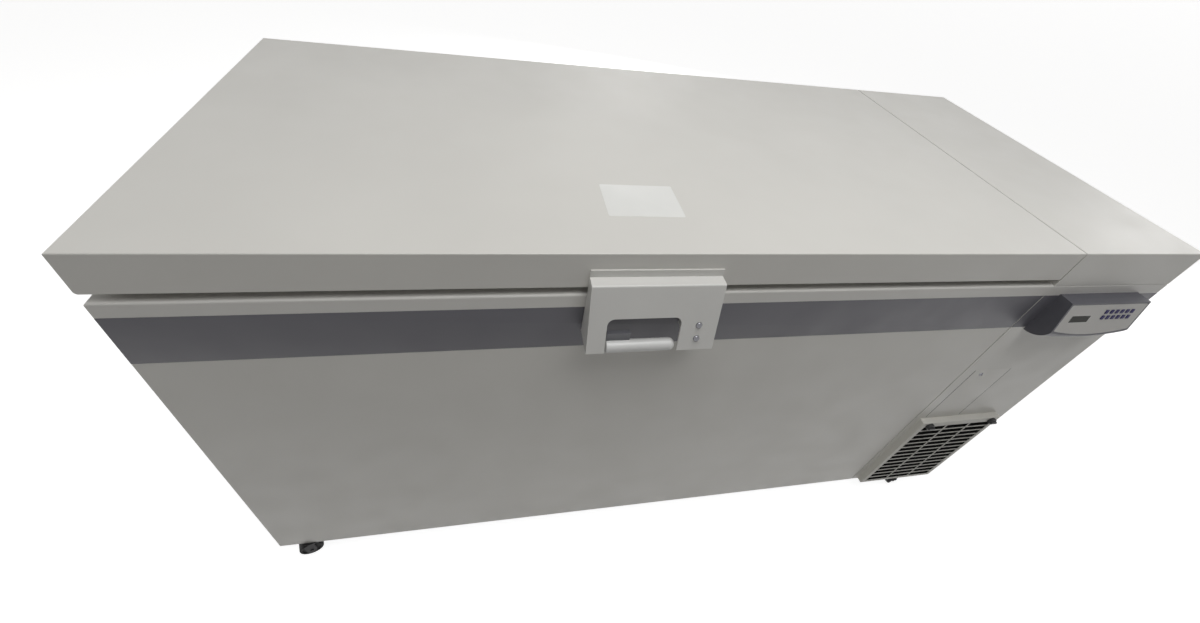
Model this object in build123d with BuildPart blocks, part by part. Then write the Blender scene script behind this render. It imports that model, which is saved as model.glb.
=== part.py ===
"""Chest-type ultra low temperature freezer: insulated cabinet, hinged lid, machine compartment, casters.

Millimetres, +X to the right, +Y to the back, +Z up. The origin is on the floor, under the middle of the box.
"""
import math
import os

from build123d import *

os.makedirs("parts", exist_ok=True)

# Overall sizes
WIDTH = 2040.0            # left end to right end
DEPTH = 836.0             # cabinet front face to cabinet rear face
HEIGHT = 1030.0           # floor to lid top
MACHINE_WIDTH = 338.0     # machine compartment, from the seam to the right end
SEAM_GAP = 3.0            # gap beside the machine compartment, in the front panels and the lid

# Sheet metal cabinet
SHEET = 1.5               # painted steel sheet
BASE_THICKNESS = 4.0      # base pan
RIM_HEIGHT = 28.5         # frame around the top of the cabinet
RIM_RADIUS = 4.0          # rounded outer edge of that frame
RIM_LIP = 40.0            # width of the frame around the machine compartment

# Cold chamber
WALL = 115.0              # outer face to chamber face
FLOOR_WALL = 110.0        # insulation under the chamber
LINER_SHEET = 1.5         # steel liner
LINER_CORNER = 25.0       # upright corners of the chamber
COIL_SPACE = 12.0         # room for the evaporator tube between liner and insulation
TUBE_RADIUS = 4.75        # evaporator tube
TUBE_BORE = 3.95          # inside of the evaporator tube
TUBE_CLEARANCE = 0.25     # tube to liner
COIL_TURNS = 6
COIL_FOOT = 70.0          # chamber floor to the lowest turn
COIL_HEAD = 80.0          # highest turn to the underside of the rim

# Lid
LID_HEIGHT = 70.0
LID_GAP = 17.5            # lid skirt to cabinet rim, filled by the gasket
LID_CORNER = 5.0          # lower corners of the lid's front and rear faces
LID_EDGE = 2.0            # folded top edge
LID_FLANGE = 40.0         # return flange under the lid
LID_PANEL = 3.0           # moulded inner panel
LID_PANEL_INSET = 17.0    # lid edge to inner panel
PLUG_GAP = 12.0           # inner panel's raised middle to chamber walls
PLUG_DEPTH = 18.0         # how far that middle dips below the rim
GASKET_INSET = 21.0       # lid edge to gasket
GASKET_WIDTH = 24.0
GASKET_ROUND = 4.0        # rounded lower edges of the gasket
GASKET_CLEARANCE = 0.3    # gasket to rim, with the lid shut

# Lid hinges
HINGE_COUNT = 3
HINGE_INSET = 210.0       # lid end to the middle of an end hinge
HINGE_WIDTH = 96.0
HINGE_LEAF = 4.0          # leaf thickness
HINGE_DROP = 70.0         # base leaf, below the rim frame
HINGE_RISE = 52.0         # lid leaf, above the lid's lower edge
HINGE_AXIS_OFFSET = 16.0  # rear face to pin
KNUCKLE_RADIUS = 9.0
KNUCKLE_GAP = 0.5         # between neighbouring knuckles
HINGE_PIN_RADIUS = 4.0
HINGE_PIN_END = 2.0       # pin past the outer knuckles

# Lid latch
LATCH_OFFSET = 692.0      # left end to the latch cover
LATCH_WIDTH = 231.0
LATCH_PLATE = 3.0         # back plate on the lid
LATCH_PLATE_DROP = 32.0   # lid top to the back plate's top
LATCH_PLATE_FOOT = 4.0    # lid's lower edge to the back plate
LATCH_DROP = 46.0         # lid top to the cover's top
LATCH_HEIGHT = 126.0
LATCH_TOP_REACH = 25.0    # cover's top edge in front of the lid
LATCH_REACH = 58.0        # cover's lower edge in front of the lid
COVER_SHEET = 3.0
COVER_BEND = 3.5          # outer radius of the fold at the cover's top
LEFT_LEG = 32.0           # cover beside the hand opening
RIGHT_LEG = 68.0
CUT_HEIGHT = 66.0
CUT_CORNER = 13.0
BAR_RADIUS = 11.5
BAR_START = 3.2           # left leg to grip bar
BAR_END = 2.0             # grip bar to right leg
BAR_LIFT = 4.0            # grip bar's axis above the cover's lower edge
BAR_ROUND = 11.0          # rounded right end
BAR_EDGE = 2.0            # rounded left end
PIVOT_LIFT = 14.5         # lever's pivot above the cover's lower edge
BLADE_THICKNESS = 8.0
BLADE_HALF = 10.0         # half the height of the lever's blade
BLADE_SETBACK = 6.0       # grip bar's axis to the middle of the blade
GUARD_WIDTH = 42.0        # plate that keeps fingers off the pivot, behind the bar's left end
GUARD_RISE = 29.0         # grip bar's axis to that plate's top
SHAFT_RADIUS = 5.0
BOSS_RADIUS = 8.0
PAWL_THICKNESS = 7.0
PAWL_DROP = 20.0
PAWL_SPACE = 0.5          # pawl to lever hub, bearing and keeper post
KEEPER_RADIUS = 4.0
KEEPER_SPACE = 2.0        # keeper post to the cover's side wall
KEEPER_GAP = 1.0          # keeper post to the lever's bearing
KEEPER_FLANGE = 2.0       # thickness of the keeper's foot
KEEPER_FOOT = 5.0         # keeper foot, wider than the post
SCREW_INSET = 35.0        # cover's right edge to the screws
STRAP_OVERLAP = 16.0      # straps of the bearing and the screw block, up the back plate
BLOCK_WIDTH = 32.0
BLOCK_HEIGHT = 48.0
BLOCK_LIFT = 12.5         # cover's lower edge to the screw block
SCREW_PITCH = 26.5
SCREW_RADIUS = 2.4
SCREW_LENGTH = 14.0
SCREW_HEAD_RADIUS = 6.0
SCREW_HEAD = 3.6
SCREW_DOME = 3.4

# Control panel
HOUSING_WIDTH = 230.0
HOUSING_SHIFT = -11.0     # middle of the machine compartment to the housing's middle
HOUSING_DROP = 112.0      # lid top to housing top
HOUSING_HEIGHT = 112.0
HOUSING_TOP_REACH = 31.0  # top ridge in front of the panel
HOUSING_REACH = 45.0      # lower end of the sloping face
FACE_HEIGHT = 77.0        # upright height of the sloping face
CHIN_BOW = 12.0           # lower edge of the sloping face, middle below the ends
BELLY_BULGE = 9.5         # rounded underside, out of the straight line from chin to heel
HOUSING_WALL = 4.0
HOUSING_OVERRUN = 6.0     # hollow carried past the open back
FASCIA_MARGIN = 4.5       # housing edge to fascia
FASCIA_THICKNESS = 2.0
FASCIA_CORNER = 3.0
FASCIA_CLEARANCE = 0.1
FACE_SHIFT = -2.5         # housing's middle to the middle of display and keys
DISPLAY_WIDTH = 53.0
DISPLAY_HEIGHT = 17.0
DISPLAY_THICKNESS = 1.2
DISPLAY_DROP = 42.0       # top ridge to the middle of the display, along the slope
DISPLAY_KEY_GAP = 33.5    # display to the first key
KEY_COLUMNS = 6
KEY_ROWS = 2
KEY_WIDTH = 8.0
KEY_HEIGHT = 9.5
KEY_GAP = 7.3             # between columns
KEY_ROW_GAP = 6.0
KEY_DROP = 31.5           # top ridge to the middle of the key rows, along the slope
KEY_PROUD = 1.4           # key above the fascia
KEY_ROUND = 0.8
KEY_CLEARANCE = 0.3
KEY_FLANGE = 1.3          # flange behind the housing wall, on each side
KEY_FLANGE_THICKNESS = 1.5

# Air intake
GRILLE_LEFT = 20.0        # seam to grille
GRILLE_RIGHT = 46.5       # grille to right end
GRILLE_FOOT = 5.0         # cabinet underside to grille
GRILLE_HEIGHT = 359.0
GRILLE_REACH = 18.0
GRILLE_SHEET = 1.6
GRILLE_EDGE = 2.5
GRILLE_SIDE = 14.0        # plain strip beside the slots
GRILLE_HEAD = 20.0        # plain strip above the slots
GRILLE_TOE = 12.0         # plain strip under the slots
SLOT_COLUMNS = 3
SLOT_ROWS = 14
SLAT = 3.0                # slat between two rows of slots
POST = 3.5                # post between two columns of slots
WINDOW_MARGIN = 12.0      # grille edge to the opening behind it
FILTER_THICKNESS = 8.0
FILTER_CLEARANCE = 0.3
KNOB_INSET = 26.0
KNOB_DROP = 12.0          # grille top to knob
KNOB_RADIUS = 11.5
KNOB_LENGTH = 8.0
KNOB_EDGE = 1.5
WING_LENGTH = 19.0
WING_WIDTH = 6.0
WING_HEIGHT = 5.0
KNOB_SHAFT_RADIUS = 3.0
KNOB_SHAFT_SPACE = 0.4    # shaft's end to the filter

# Machine compartment
CONDENSER_SETBACK = 46.0  # front face to condenser
CONDENSER_DEPTH = 50.0
CONDENSER_HEIGHT = 320.0
CONDENSER_SIDE = 14.0     # grille side to condenser
END_PLATE = 2.0           # condenser end plates
END_PLATE_MARGIN = 4.0    # end plate past the fins
FIN_COUNT = 24
FIN_GROOVE = 3.0          # groove between two fins
FIN_DEPTH = 6.0
FAN_GAP = 15.0            # condenser to fan
FAN_RADIUS = 112.0
FAN_DEPTH = 30.0
FAN_HUB_RADIUS = 26.0
FAN_BLADES = 5
BLADE_CHORD = 62.0
FAN_BLADE_SHEET = 2.0
BLADE_TILT = 24.0
FAN_SHAFT_RADIUS = 4.0
MOTOR_GAP = 8.0           # fan to motor
MOTOR_RADIUS = 42.0
MOTOR_LENGTH = 78.0
PEDESTAL_WIDTH = 60.0
PEDESTAL_LENGTH = 46.0
COMPRESSOR_COUNT = 2
COMPRESSOR_RADIUS = 92.0
COMPRESSOR_HEIGHT = 262.0
COMPRESSOR_DOME = 38.0
COMPRESSOR_SPACE = 10.0   # room kept in front of the rear caster sockets
COMPRESSOR_PLATE = 5.0
COMPRESSOR_PLATE_SIDE = 190.0
GROMMET_RADIUS = 14.0
GROMMET_HEIGHT = 18.0
GROMMET_INSET = 20.0
EXCHANGER_DEPTH = 90.0
EXCHANGER_LENGTH = 270.0
EXCHANGER_HEIGHT = 380.0
EXCHANGER_DROP = 60.0     # rim frame to heat exchanger
EXCHANGER_EDGE = 20.0

# Rear of the machine compartment
LOUVRE_COUNT = 12
LOUVRE_PITCH = 24.0
LOUVRE_HEIGHT = 9.0
LOUVRE_MARGIN = 50.0      # panel edge to louvre
LOUVRE_DROP = 90.0        # rim frame to the highest louvre
ENTRY_LIFT = 130.0        # cabinet underside to the middle of the power entry
ENTRY_RIGHT = 100.0       # right end to the middle of the power entry
ENTRY_WIDTH = 56.0
ENTRY_WALL = 7.0          # power entry's body past the rocker and the gland
ENTRY_PLATE = 3.0
ENTRY_CORNER = 4.0
ENTRY_LIP = 5.0           # plate past the opening in the panel
ENTRY_DEPTH = 32.0
ENTRY_CLEARANCE = 0.2
ROCKER_RISE = 20.0        # middle of the power entry to the rocker
ROCKER_WIDTH = 18.0
ROCKER_HEIGHT = 26.0
ROCKER_DEPTH = 9.0
ROCKER_PROUD = 3.5        # rocker in front of its axle
ROCKER_TILT = 9.0
ROCKER_AXLE_RADIUS = 2.0
WELL_CLEARANCE = 0.8
WELL_DEPTH = 15.0
GLAND_DROP = 22.0         # middle of the power entry to the cord gland
GLAND_RADIUS = 12.0
GLAND_LENGTH = 14.0
GLAND_ROUND = 4.0

# Casters
CASTER_INSET_X = 106.0    # cabinet end to the swivel axis
CASTER_INSET_Y = 24.0     # cabinet face to the swivel axis
CASTER_TRAIL = 46.0       # swivel axis to wheel axle
CASTER_TURN = 18.0        # degrees at rest, from pointing left towards the front
WHEEL_RADIUS = 28.0
WHEEL_WIDTH = 26.0
WHEEL_TOP_GAP = 2.7       # wheel to fork bridge
WHEEL_EDGE = 4.0
WHEEL_DISH = 2.0          # recess in the wheel's sides
WHEEL_RIM = 7.0           # tread ring around the recess
HUB_FACE_RADIUS = 9.0
AXLE_RADIUS = 4.0
FORK_SHEET = 3.0
FORK_BRIDGE = 4.0
FORK_SIDE_GAP = 1.0       # wheel to fork cheek
FORK_HALF = 12.0          # half the width of a cheek at the axle
FORK_NOSE = 20.0          # bridge past the swivel axis
AXLE_HEAD = 2.0           # axle past the cheeks
STEM_RADIUS = 8.0
STEM_LENGTH = 26.0        # stem above the base pan's underside
SOCKET_RADIUS = 14.0
SOCKET_HEIGHT = 30.0
SWIVEL_GAP = 0.3          # fork to cabinet underside

# Fits
RUNNING_FIT = 0.05        # radial, shaft in a turning hole
FIXED_FIT = 0.02          # radial, pin in a hole that holds it
POCKET_FIT = 0.5          # insulation around a caster socket

# Main planes
left = -WIDTH / 2
right = WIDTH / 2
hinge_reach = HINGE_AXIS_OFFSET + KNUCKLE_RADIUS
front = (LATCH_REACH - DEPTH - hinge_reach) / 2
rear = front + DEPTH
seam = right - MACHINE_WIDTH
cold_right = seam - SEAM_GAP / 2
machine_left = seam + SEAM_GAP / 2
machine_middle = (machine_left + right - SHEET) / 2
underside = 2 * WHEEL_RADIUS + WHEEL_TOP_GAP + FORK_BRIDGE + SWIVEL_GAP
base_top = underside + BASE_THICKNESS
lid_bottom = HEIGHT - LID_HEIGHT
rim_top = lid_bottom - LID_GAP
rim_bottom = rim_top - RIM_HEIGHT
chamber_x = (left + WALL, seam - WALL)
chamber_y = (front + WALL, rear - WALL)
chamber_floor = base_top + FLOOR_WALL + LINER_SHEET


def slab(x_span, y_span, z_span, mode=Mode.ADD):
    """Adds a box between the ends of three spans to the piece that is being built, or cuts it out."""
    spans = (x_span, y_span, z_span)
    with Locations(tuple((low + high) / 2 for low, high in spans)):
        Box(*[high - low for low, high in spans], mode=mode)


def rod(start, axis, radius, length, mode=Mode.ADD):
    """Adds a round bar from a start point along an axis to the piece that is being built, or cuts it out."""
    with BuildSketch(Plane(origin=start, z_dir=axis)) as section:
        Circle(radius)
    extrude(section.sketch, amount=length, mode=mode)


def rounded_slab(x_span, y_span, corner, z_span, mode=Mode.ADD):
    """Adds a box with rounded upright corners to the piece that is being built, or cuts it out."""
    with BuildSketch(Plane.XY.offset(z_span[0])) as outline:
        with Locations(((x_span[0] + x_span[1]) / 2, (y_span[0] + y_span[1]) / 2)):
            RectangleRounded(x_span[1] - x_span[0], y_span[1] - y_span[0], corner)
    extrude(outline.sketch, amount=z_span[1] - z_span[0], mode=mode)


def grown(span, margin):
    """Gives a span with both ends moved outwards by a margin."""
    return (span[0] - margin, span[1] + margin)


def save(piece, name):
    """Labels a finished piece and writes it."""
    piece.part.label = name
    export_step(piece.part, f"parts/{name}.step")


# Base pan with four caster sockets
caster_places = {
    "front_left": (left + CASTER_INSET_X, front + CASTER_INSET_Y),
    "front_right": (right - CASTER_INSET_X, front + CASTER_INSET_Y),
    "rear_left": (left + CASTER_INSET_X, rear - CASTER_INSET_Y),
    "rear_right": (right - CASTER_INSET_X, rear - CASTER_INSET_Y),
}
with BuildPart() as base_pan:
    slab((left + SHEET, right - SHEET), (front + SHEET, rear - SHEET), (underside, base_top))
    for x, y in caster_places.values():
        rod((x, y, base_top), (0, 0, 1), SOCKET_RADIUS, SOCKET_HEIGHT)
        rod((x, y, underside), (0, 0, 1), STEM_RADIUS + RUNNING_FIT, STEM_LENGTH + RUNNING_FIT,
            Mode.SUBTRACT)
save(base_pan, "base_pan")

# Outer skins of the cold cabinet
panel_z = (underside, rim_bottom)
inside_y = (front + SHEET, rear - SHEET)
with BuildPart() as front_panel:
    slab((left, cold_right), (front, front + SHEET), panel_z)
save(front_panel, "front_panel")

with BuildPart() as left_panel:
    slab((left, left + SHEET), inside_y, panel_z)
save(left_panel, "left_panel")

with BuildPart() as rear_panel:
    slab((left, cold_right), (rear - SHEET, rear), panel_z)
save(rear_panel, "rear_panel")

with BuildPart() as bulkhead_panel:
    slab((seam - SHEET / 2, seam + SHEET / 2), inside_y, (base_top, rim_bottom))
save(bulkhead_panel, "bulkhead_panel")

# Foamed insulation, a tub around the liner and its evaporator tube
coil_room = LINER_SHEET + COIL_SPACE
with BuildPart() as insulation:
    slab((left + SHEET, seam - SHEET / 2), inside_y, (base_top, rim_bottom))
    slab(grown(chamber_x, coil_room), grown(chamber_y, coil_room), (chamber_floor - LINER_SHEET, rim_bottom),
         Mode.SUBTRACT)
    for x, y in caster_places.values():
        rod((x, y, base_top), (0, 0, 1), SOCKET_RADIUS + POCKET_FIT, SOCKET_HEIGHT + POCKET_FIT,
            Mode.SUBTRACT)
save(insulation, "insulation")

# Steel liner of the cold chamber
with BuildPart() as liner:
    rounded_slab(grown(chamber_x, LINER_SHEET), grown(chamber_y, LINER_SHEET), LINER_CORNER + LINER_SHEET,
                 (chamber_floor - LINER_SHEET, rim_bottom))
    rounded_slab(chamber_x, chamber_y, LINER_CORNER, (chamber_floor, rim_bottom), Mode.SUBTRACT)
save(liner, "liner")

# Evaporator, one tube wound around the liner as a rising rectangular helix
tube_offset = LINER_SHEET + TUBE_CLEARANCE + TUBE_RADIUS
coil_x = grown(chamber_x, tube_offset)
coil_y = grown(chamber_y, tube_offset)
coil_z = (chamber_floor + COIL_FOOT, rim_bottom - COIL_HEAD)
coil_corners = ((0, 0), (1, 0), (1, 1), (0, 1))
coil_steps = 4 * COIL_TURNS
coil_points = []
for step in range(coil_steps + 1):
    x_end, y_end = coil_corners[step % 4]
    height = coil_z[0] + (coil_z[1] - coil_z[0]) * step / coil_steps
    coil_points.append((coil_x[x_end], coil_y[y_end], height))
coil_points[0] = (sum(coil_x) / 2, coil_y[0], coil_z[0])
coil_points[-1] = (coil_x[0], sum(coil_y) / 2, coil_z[1])
with BuildPart() as evaporator_coil:
    with BuildLine() as coil_route:
        FilletPolyline(*coil_points, radius=LINER_CORNER + tube_offset)
    with BuildSketch(Plane(origin=coil_route.line @ 0, z_dir=coil_route.line % 0)):
        Circle(TUBE_RADIUS)
        Circle(TUBE_BORE, mode=Mode.SUBTRACT)
    sweep()
save(evaporator_coil, "evaporator_coil")

# Frame around the top of the whole cabinet, open over the chamber and over the machine compartment
with BuildPart() as rim_frame:
    slab((left, right), (front, rear), (rim_bottom, rim_top))
    fillet(rim_frame.edges().group_by(Axis.Z)[-1], RIM_RADIUS)
    rounded_slab(chamber_x, chamber_y, LINER_CORNER, (rim_bottom, rim_top), Mode.SUBTRACT)
    slab((machine_left + RIM_LIP, right - RIM_LIP), (front + RIM_LIP, rear - RIM_LIP), (rim_bottom, rim_top),
         Mode.SUBTRACT)
save(rim_frame, "rim_frame")

# Lid: folded outer pan, moulded inner panel, foam and gasket
lid_x = (left, cold_right)
lid_width = cold_right - left
lid_middle = (left + cold_right) / 2
plug_x = grown(chamber_x, -PLUG_GAP)
plug_y = grown(chamber_y, -PLUG_GAP)
plug_bottom = rim_top - PLUG_DEPTH
with BuildPart() as lid_pan:
    with BuildSketch(Plane.XZ.offset(-rear)) as lid_outline:
        with Locations((lid_middle, lid_bottom + LID_HEIGHT / 2)):
            Rectangle(lid_width, LID_HEIGHT)
        fillet(lid_outline.vertices().group_by(Axis.Y)[0], LID_CORNER)
    extrude(amount=DEPTH)
    fillet(lid_pan.edges().group_by(Axis.Z)[-1], LID_EDGE)
    with BuildSketch(Plane.XZ.offset(SHEET - rear)) as lid_hollow:
        with Locations((lid_middle, lid_bottom + LID_HEIGHT / 2)):
            Rectangle(lid_width - 2 * SHEET, LID_HEIGHT - 2 * SHEET)
        fillet(lid_hollow.vertices().group_by(Axis.Y)[0], LID_CORNER - SHEET)
    extrude(amount=DEPTH - 2 * SHEET, mode=Mode.SUBTRACT)
    slab(grown(lid_x, -LID_FLANGE), (front + LID_FLANGE, rear - LID_FLANGE),
         (lid_bottom, lid_bottom + SHEET), Mode.SUBTRACT)
save(lid_pan, "lid_pan")

with BuildPart() as lid_inner_panel:
    slab(grown(lid_x, -LID_PANEL_INSET), (front + LID_PANEL_INSET, rear - LID_PANEL_INSET),
         (lid_bottom - LID_PANEL, lid_bottom))
    rounded_slab(plug_x, plug_y, LINER_CORNER, (plug_bottom, lid_bottom))
    rounded_slab(grown(plug_x, -LID_PANEL), grown(plug_y, -LID_PANEL), LINER_CORNER - LID_PANEL,
                 (plug_bottom + LID_PANEL, lid_bottom), Mode.SUBTRACT)
save(lid_inner_panel, "lid_inner_panel")

with BuildPart() as lid_insulation:
    slab(grown(lid_x, -LID_CORNER), inside_y, (lid_bottom + SHEET, HEIGHT - SHEET))
    slab(grown(plug_x, -LINER_CORNER), grown(plug_y, -LINER_CORNER),
         (plug_bottom + LID_PANEL, lid_bottom + SHEET))
save(lid_insulation, "lid_insulation")

gasket_x = grown(lid_x, -GASKET_INSET)
gasket_y = (front + GASKET_INSET, rear - GASKET_INSET)
gasket_z = (rim_top + GASKET_CLEARANCE, lid_bottom - LID_PANEL)
with BuildPart() as lid_gasket:
    slab(gasket_x, gasket_y, gasket_z)
    slab(grown(gasket_x, -GASKET_WIDTH), grown(gasket_y, -GASKET_WIDTH), gasket_z, Mode.SUBTRACT)
    fillet(lid_gasket.edges().group_by(Axis.Z)[0], GASKET_ROUND)
save(lid_gasket, "lid_gasket")

# Three lid hinges: base leaves with outer knuckles, lid leaves with a middle knuckle, and pins
hinge_y = rear + HINGE_AXIS_OFFSET
hinge_z = (lid_bottom + rim_top) / 2
hinge_span = lid_width - 2 * HINGE_INSET
hinge_places = [left + HINGE_INSET + hinge_span * i / (HINGE_COUNT - 1) for i in range(HINGE_COUNT)]
knuckle = HINGE_WIDTH / 3
leaf_y = (rear, rear + HINGE_LEAF)
block_y = (rear, hinge_y)
base_leaf_top = rim_top - RIM_RADIUS
with BuildPart() as hinge_bases:
    for x in hinge_places:
        slab((x - HINGE_WIDTH / 2, x + HINGE_WIDTH / 2), leaf_y, (rim_bottom - HINGE_DROP, base_leaf_top))
        for start in (x - HINGE_WIDTH / 2, x + knuckle / 2):
            slab((start, start + knuckle), block_y, (base_leaf_top, hinge_z))
            rod((start, hinge_y, hinge_z), (1, 0, 0), KNUCKLE_RADIUS, knuckle)
        rod((x - HINGE_WIDTH / 2, hinge_y, hinge_z), (1, 0, 0), HINGE_PIN_RADIUS + FIXED_FIT, HINGE_WIDTH,
            Mode.SUBTRACT)
save(hinge_bases, "hinge_bases")

with BuildPart() as hinge_leaves:
    for x in hinge_places:
        start = x - knuckle / 2 + KNUCKLE_GAP
        length = knuckle - 2 * KNUCKLE_GAP
        slab((x - HINGE_WIDTH / 2, x + HINGE_WIDTH / 2), leaf_y, (lid_bottom, lid_bottom + HINGE_RISE))
        slab((start, start + length), block_y, (hinge_z, lid_bottom))
        rod((start, hinge_y, hinge_z), (1, 0, 0), KNUCKLE_RADIUS, length)
        rod((start, hinge_y, hinge_z), (1, 0, 0), HINGE_PIN_RADIUS + RUNNING_FIT, length, Mode.SUBTRACT)
save(hinge_leaves, "hinge_leaves")

with BuildPart() as hinge_pins:
    for x in hinge_places:
        start = x - HINGE_WIDTH / 2 - HINGE_PIN_END
        rod((start, hinge_y, hinge_z), (1, 0, 0), HINGE_PIN_RADIUS, HINGE_WIDTH + 2 * HINGE_PIN_END)
save(hinge_pins, "hinge_pins")

# Fixed cover over the machine compartment, flush with the lid
with BuildPart() as machine_top_cover:
    slab((machine_left, right), (front, rear), (rim_top, HEIGHT))
    fillet(machine_top_cover.edges().group_by(Axis.Z)[-1], LID_EDGE)
    slab((machine_left + SHEET, right - SHEET), inside_y, (rim_top, HEIGHT - SHEET), Mode.SUBTRACT)
save(machine_top_cover, "machine_top_cover")

# Latch: the sloping cover stands off the lid's front face
latch_x = (left + LATCH_OFFSET, left + LATCH_OFFSET + LATCH_WIDTH)
cover_top = HEIGHT - LATCH_DROP
cover_bottom = cover_top - LATCH_HEIGHT
cover_lean = (LATCH_REACH - LATCH_TOP_REACH) / LATCH_HEIGHT
cover_normal = Vector(0, -1, cover_lean).normalized()
cover_level = COVER_SHEET * math.sqrt(1 + cover_lean**2)
cover_back = front - LATCH_PLATE
cut_x = (latch_x[0] + LEFT_LEG, latch_x[1] - RIGHT_LEG)


def cover_face(height):
    """Gives the y of the cover's outer face at a height."""
    return front - LATCH_TOP_REACH - cover_lean * (cover_top - height)


def cover_lining(height):
    """Gives the y of the cover's inner face at a height."""
    return cover_face(height) + cover_level


cover_side = [
    (cover_back, cover_top),
    (cover_face(cover_top), cover_top),
    (cover_face(cover_bottom), cover_bottom),
    (cover_back, cover_bottom),
]
cover_inside = [
    (cover_back, cover_top - COVER_SHEET),
    (cover_lining(cover_top - COVER_SHEET), cover_top - COVER_SHEET),
    (cover_lining(cover_bottom), cover_bottom),
    (cover_back, cover_bottom),
]
screw_x = latch_x[1] - SCREW_INSET
block_z = (cover_bottom + BLOCK_LIFT, cover_bottom + BLOCK_LIFT + BLOCK_HEIGHT)
screw_heights = [sum(block_z) / 2 - SCREW_PITCH / 2, sum(block_z) / 2 + SCREW_PITCH / 2]
screw_seats = [Vector(screw_x, cover_face(height), height) for height in screw_heights]

with BuildPart() as latch_cover:
    with BuildSketch(Plane.YZ.offset(latch_x[0])) as cover_outline:
        with BuildLine():
            Polyline(*cover_side, close=True)
        make_face()
        fillet(cover_outline.vertices().group_by(Axis.Y)[-1].sort_by(Axis.X)[0], COVER_BEND)
    extrude(amount=LATCH_WIDTH)
    with BuildSketch(Plane.YZ.offset(latch_x[0] + COVER_SHEET)):
        with BuildLine():
            Polyline(*cover_inside, close=True)
        make_face()
    extrude(amount=LATCH_WIDTH - 2 * COVER_SHEET, mode=Mode.SUBTRACT)
    with BuildSketch(Plane.XZ.offset(-cover_back)) as hand_opening:
        with Locations((sum(cut_x) / 2, cover_bottom + CUT_HEIGHT / 2)):
            Rectangle(cut_x[1] - cut_x[0], CUT_HEIGHT)
        fillet(hand_opening.vertices().group_by(Axis.Y)[-1], CUT_CORNER)
    extrude(amount=LATCH_REACH, mode=Mode.SUBTRACT)
    for seat in screw_seats:
        rod(seat, -cover_normal, SCREW_RADIUS + FIXED_FIT, 2 * COVER_SHEET, Mode.SUBTRACT)
save(latch_cover, "latch_cover")

# Back plate on the lid, with the lever's bearing on the left and the cover's screw block on the right
keeper_x = latch_x[0] + COVER_SHEET + KEEPER_SPACE + KEEPER_RADIUS
pivot_x = keeper_x + KEEPER_RADIUS + KEEPER_GAP + BOSS_RADIUS
pivot_z = cover_bottom + PIVOT_LIFT
bar_z = cover_bottom + BAR_LIFT
bar_y = cover_face(bar_z) + BAR_RADIUS
bar_x = (cut_x[0] + BAR_START, cut_x[1] - BAR_END)
guard_x = (bar_x[0], bar_x[0] + GUARD_WIDTH)
blade_y = grown((bar_y + BLADE_SETBACK, bar_y + BLADE_SETBACK), BLADE_THICKNESS / 2)
pawl_x = (keeper_x + KEEPER_RADIUS + PAWL_SPACE, pivot_x)
pawl_y = (blade_y[1] + PAWL_SPACE, blade_y[1] + PAWL_SPACE + PAWL_THICKNESS)
boss_length = cover_back - pawl_y[1] - PAWL_SPACE
ear_x = (pivot_x - BOSS_RADIUS, pivot_x + BOSS_RADIUS)
strap_y = (cover_back - LATCH_PLATE, cover_back)
strap_top = lid_bottom + LATCH_PLATE_FOOT + STRAP_OVERLAP
block_x = (screw_x - BLOCK_WIDTH / 2, screw_x + BLOCK_WIDTH / 2)
block_profile = [
    (strap_y[0], block_z[0]),
    (cover_lining(block_z[0]), block_z[0]),
    (cover_lining(block_z[1]), block_z[1]),
    (strap_y[0], block_z[1]),
]
with BuildPart() as latch_base:
    slab(latch_x, (cover_back, front), (lid_bottom + LATCH_PLATE_FOOT, HEIGHT - LATCH_PLATE_DROP))
    slab(ear_x, strap_y, (pivot_z - BOSS_RADIUS, strap_top))
    rod((pivot_x, cover_back, pivot_z), (0, -1, 0), BOSS_RADIUS, boss_length)
    rod((pivot_x, cover_back, pivot_z), (0, -1, 0), SHAFT_RADIUS + RUNNING_FIT, boss_length, Mode.SUBTRACT)
    slab(block_x, strap_y, (block_z[0], strap_top))
    with BuildSketch(Plane.YZ.offset(block_x[0])):
        with BuildLine():
            Polyline(*block_profile, close=True)
        make_face()
    extrude(amount=BLOCK_WIDTH)
    for seat in screw_seats:
        rod(seat, -cover_normal, SCREW_RADIUS + FIXED_FIT, SCREW_LENGTH, Mode.SUBTRACT)
save(latch_base, "latch_base")

with BuildPart() as latch_screws:
    for seat in screw_seats:
        rod(seat, -cover_normal, SCREW_RADIUS, SCREW_LENGTH)
        rod(seat, cover_normal, SCREW_HEAD_RADIUS, SCREW_HEAD)
    heads = latch_screws.faces().filter_by(GeomType.PLANE).filter_by(
        lambda face: face.normal_at().dot(cover_normal) > 0.99)
    fillet(heads.edges(), SCREW_DOME)
save(latch_screws, "latch_screws")

# Grip bar with a finger guard, on a blade that turns about a short shaft behind the cover's left leg
with BuildPart() as latch_lever:
    rod((bar_x[0], bar_y, bar_z), (1, 0, 0), BAR_RADIUS, bar_x[1] - bar_x[0])
    fillet(latch_lever.edges().sort_by(Axis.X)[-1], BAR_ROUND)
    fillet(latch_lever.edges().sort_by(Axis.X)[0], BAR_EDGE)
    slab((pivot_x, guard_x[1]), blade_y, (pivot_z - BLADE_HALF, pivot_z + BLADE_HALF))
    slab(guard_x, blade_y, (bar_z, bar_z + GUARD_RISE))
    rod((pivot_x, blade_y[0], pivot_z), (0, 1, 0), BLADE_HALF, BLADE_THICKNESS)
    rod((pivot_x, blade_y[0], pivot_z), (0, 1, 0), SHAFT_RADIUS + FIXED_FIT, BLADE_THICKNESS, Mode.SUBTRACT)
save(latch_lever, "latch_lever")

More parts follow.
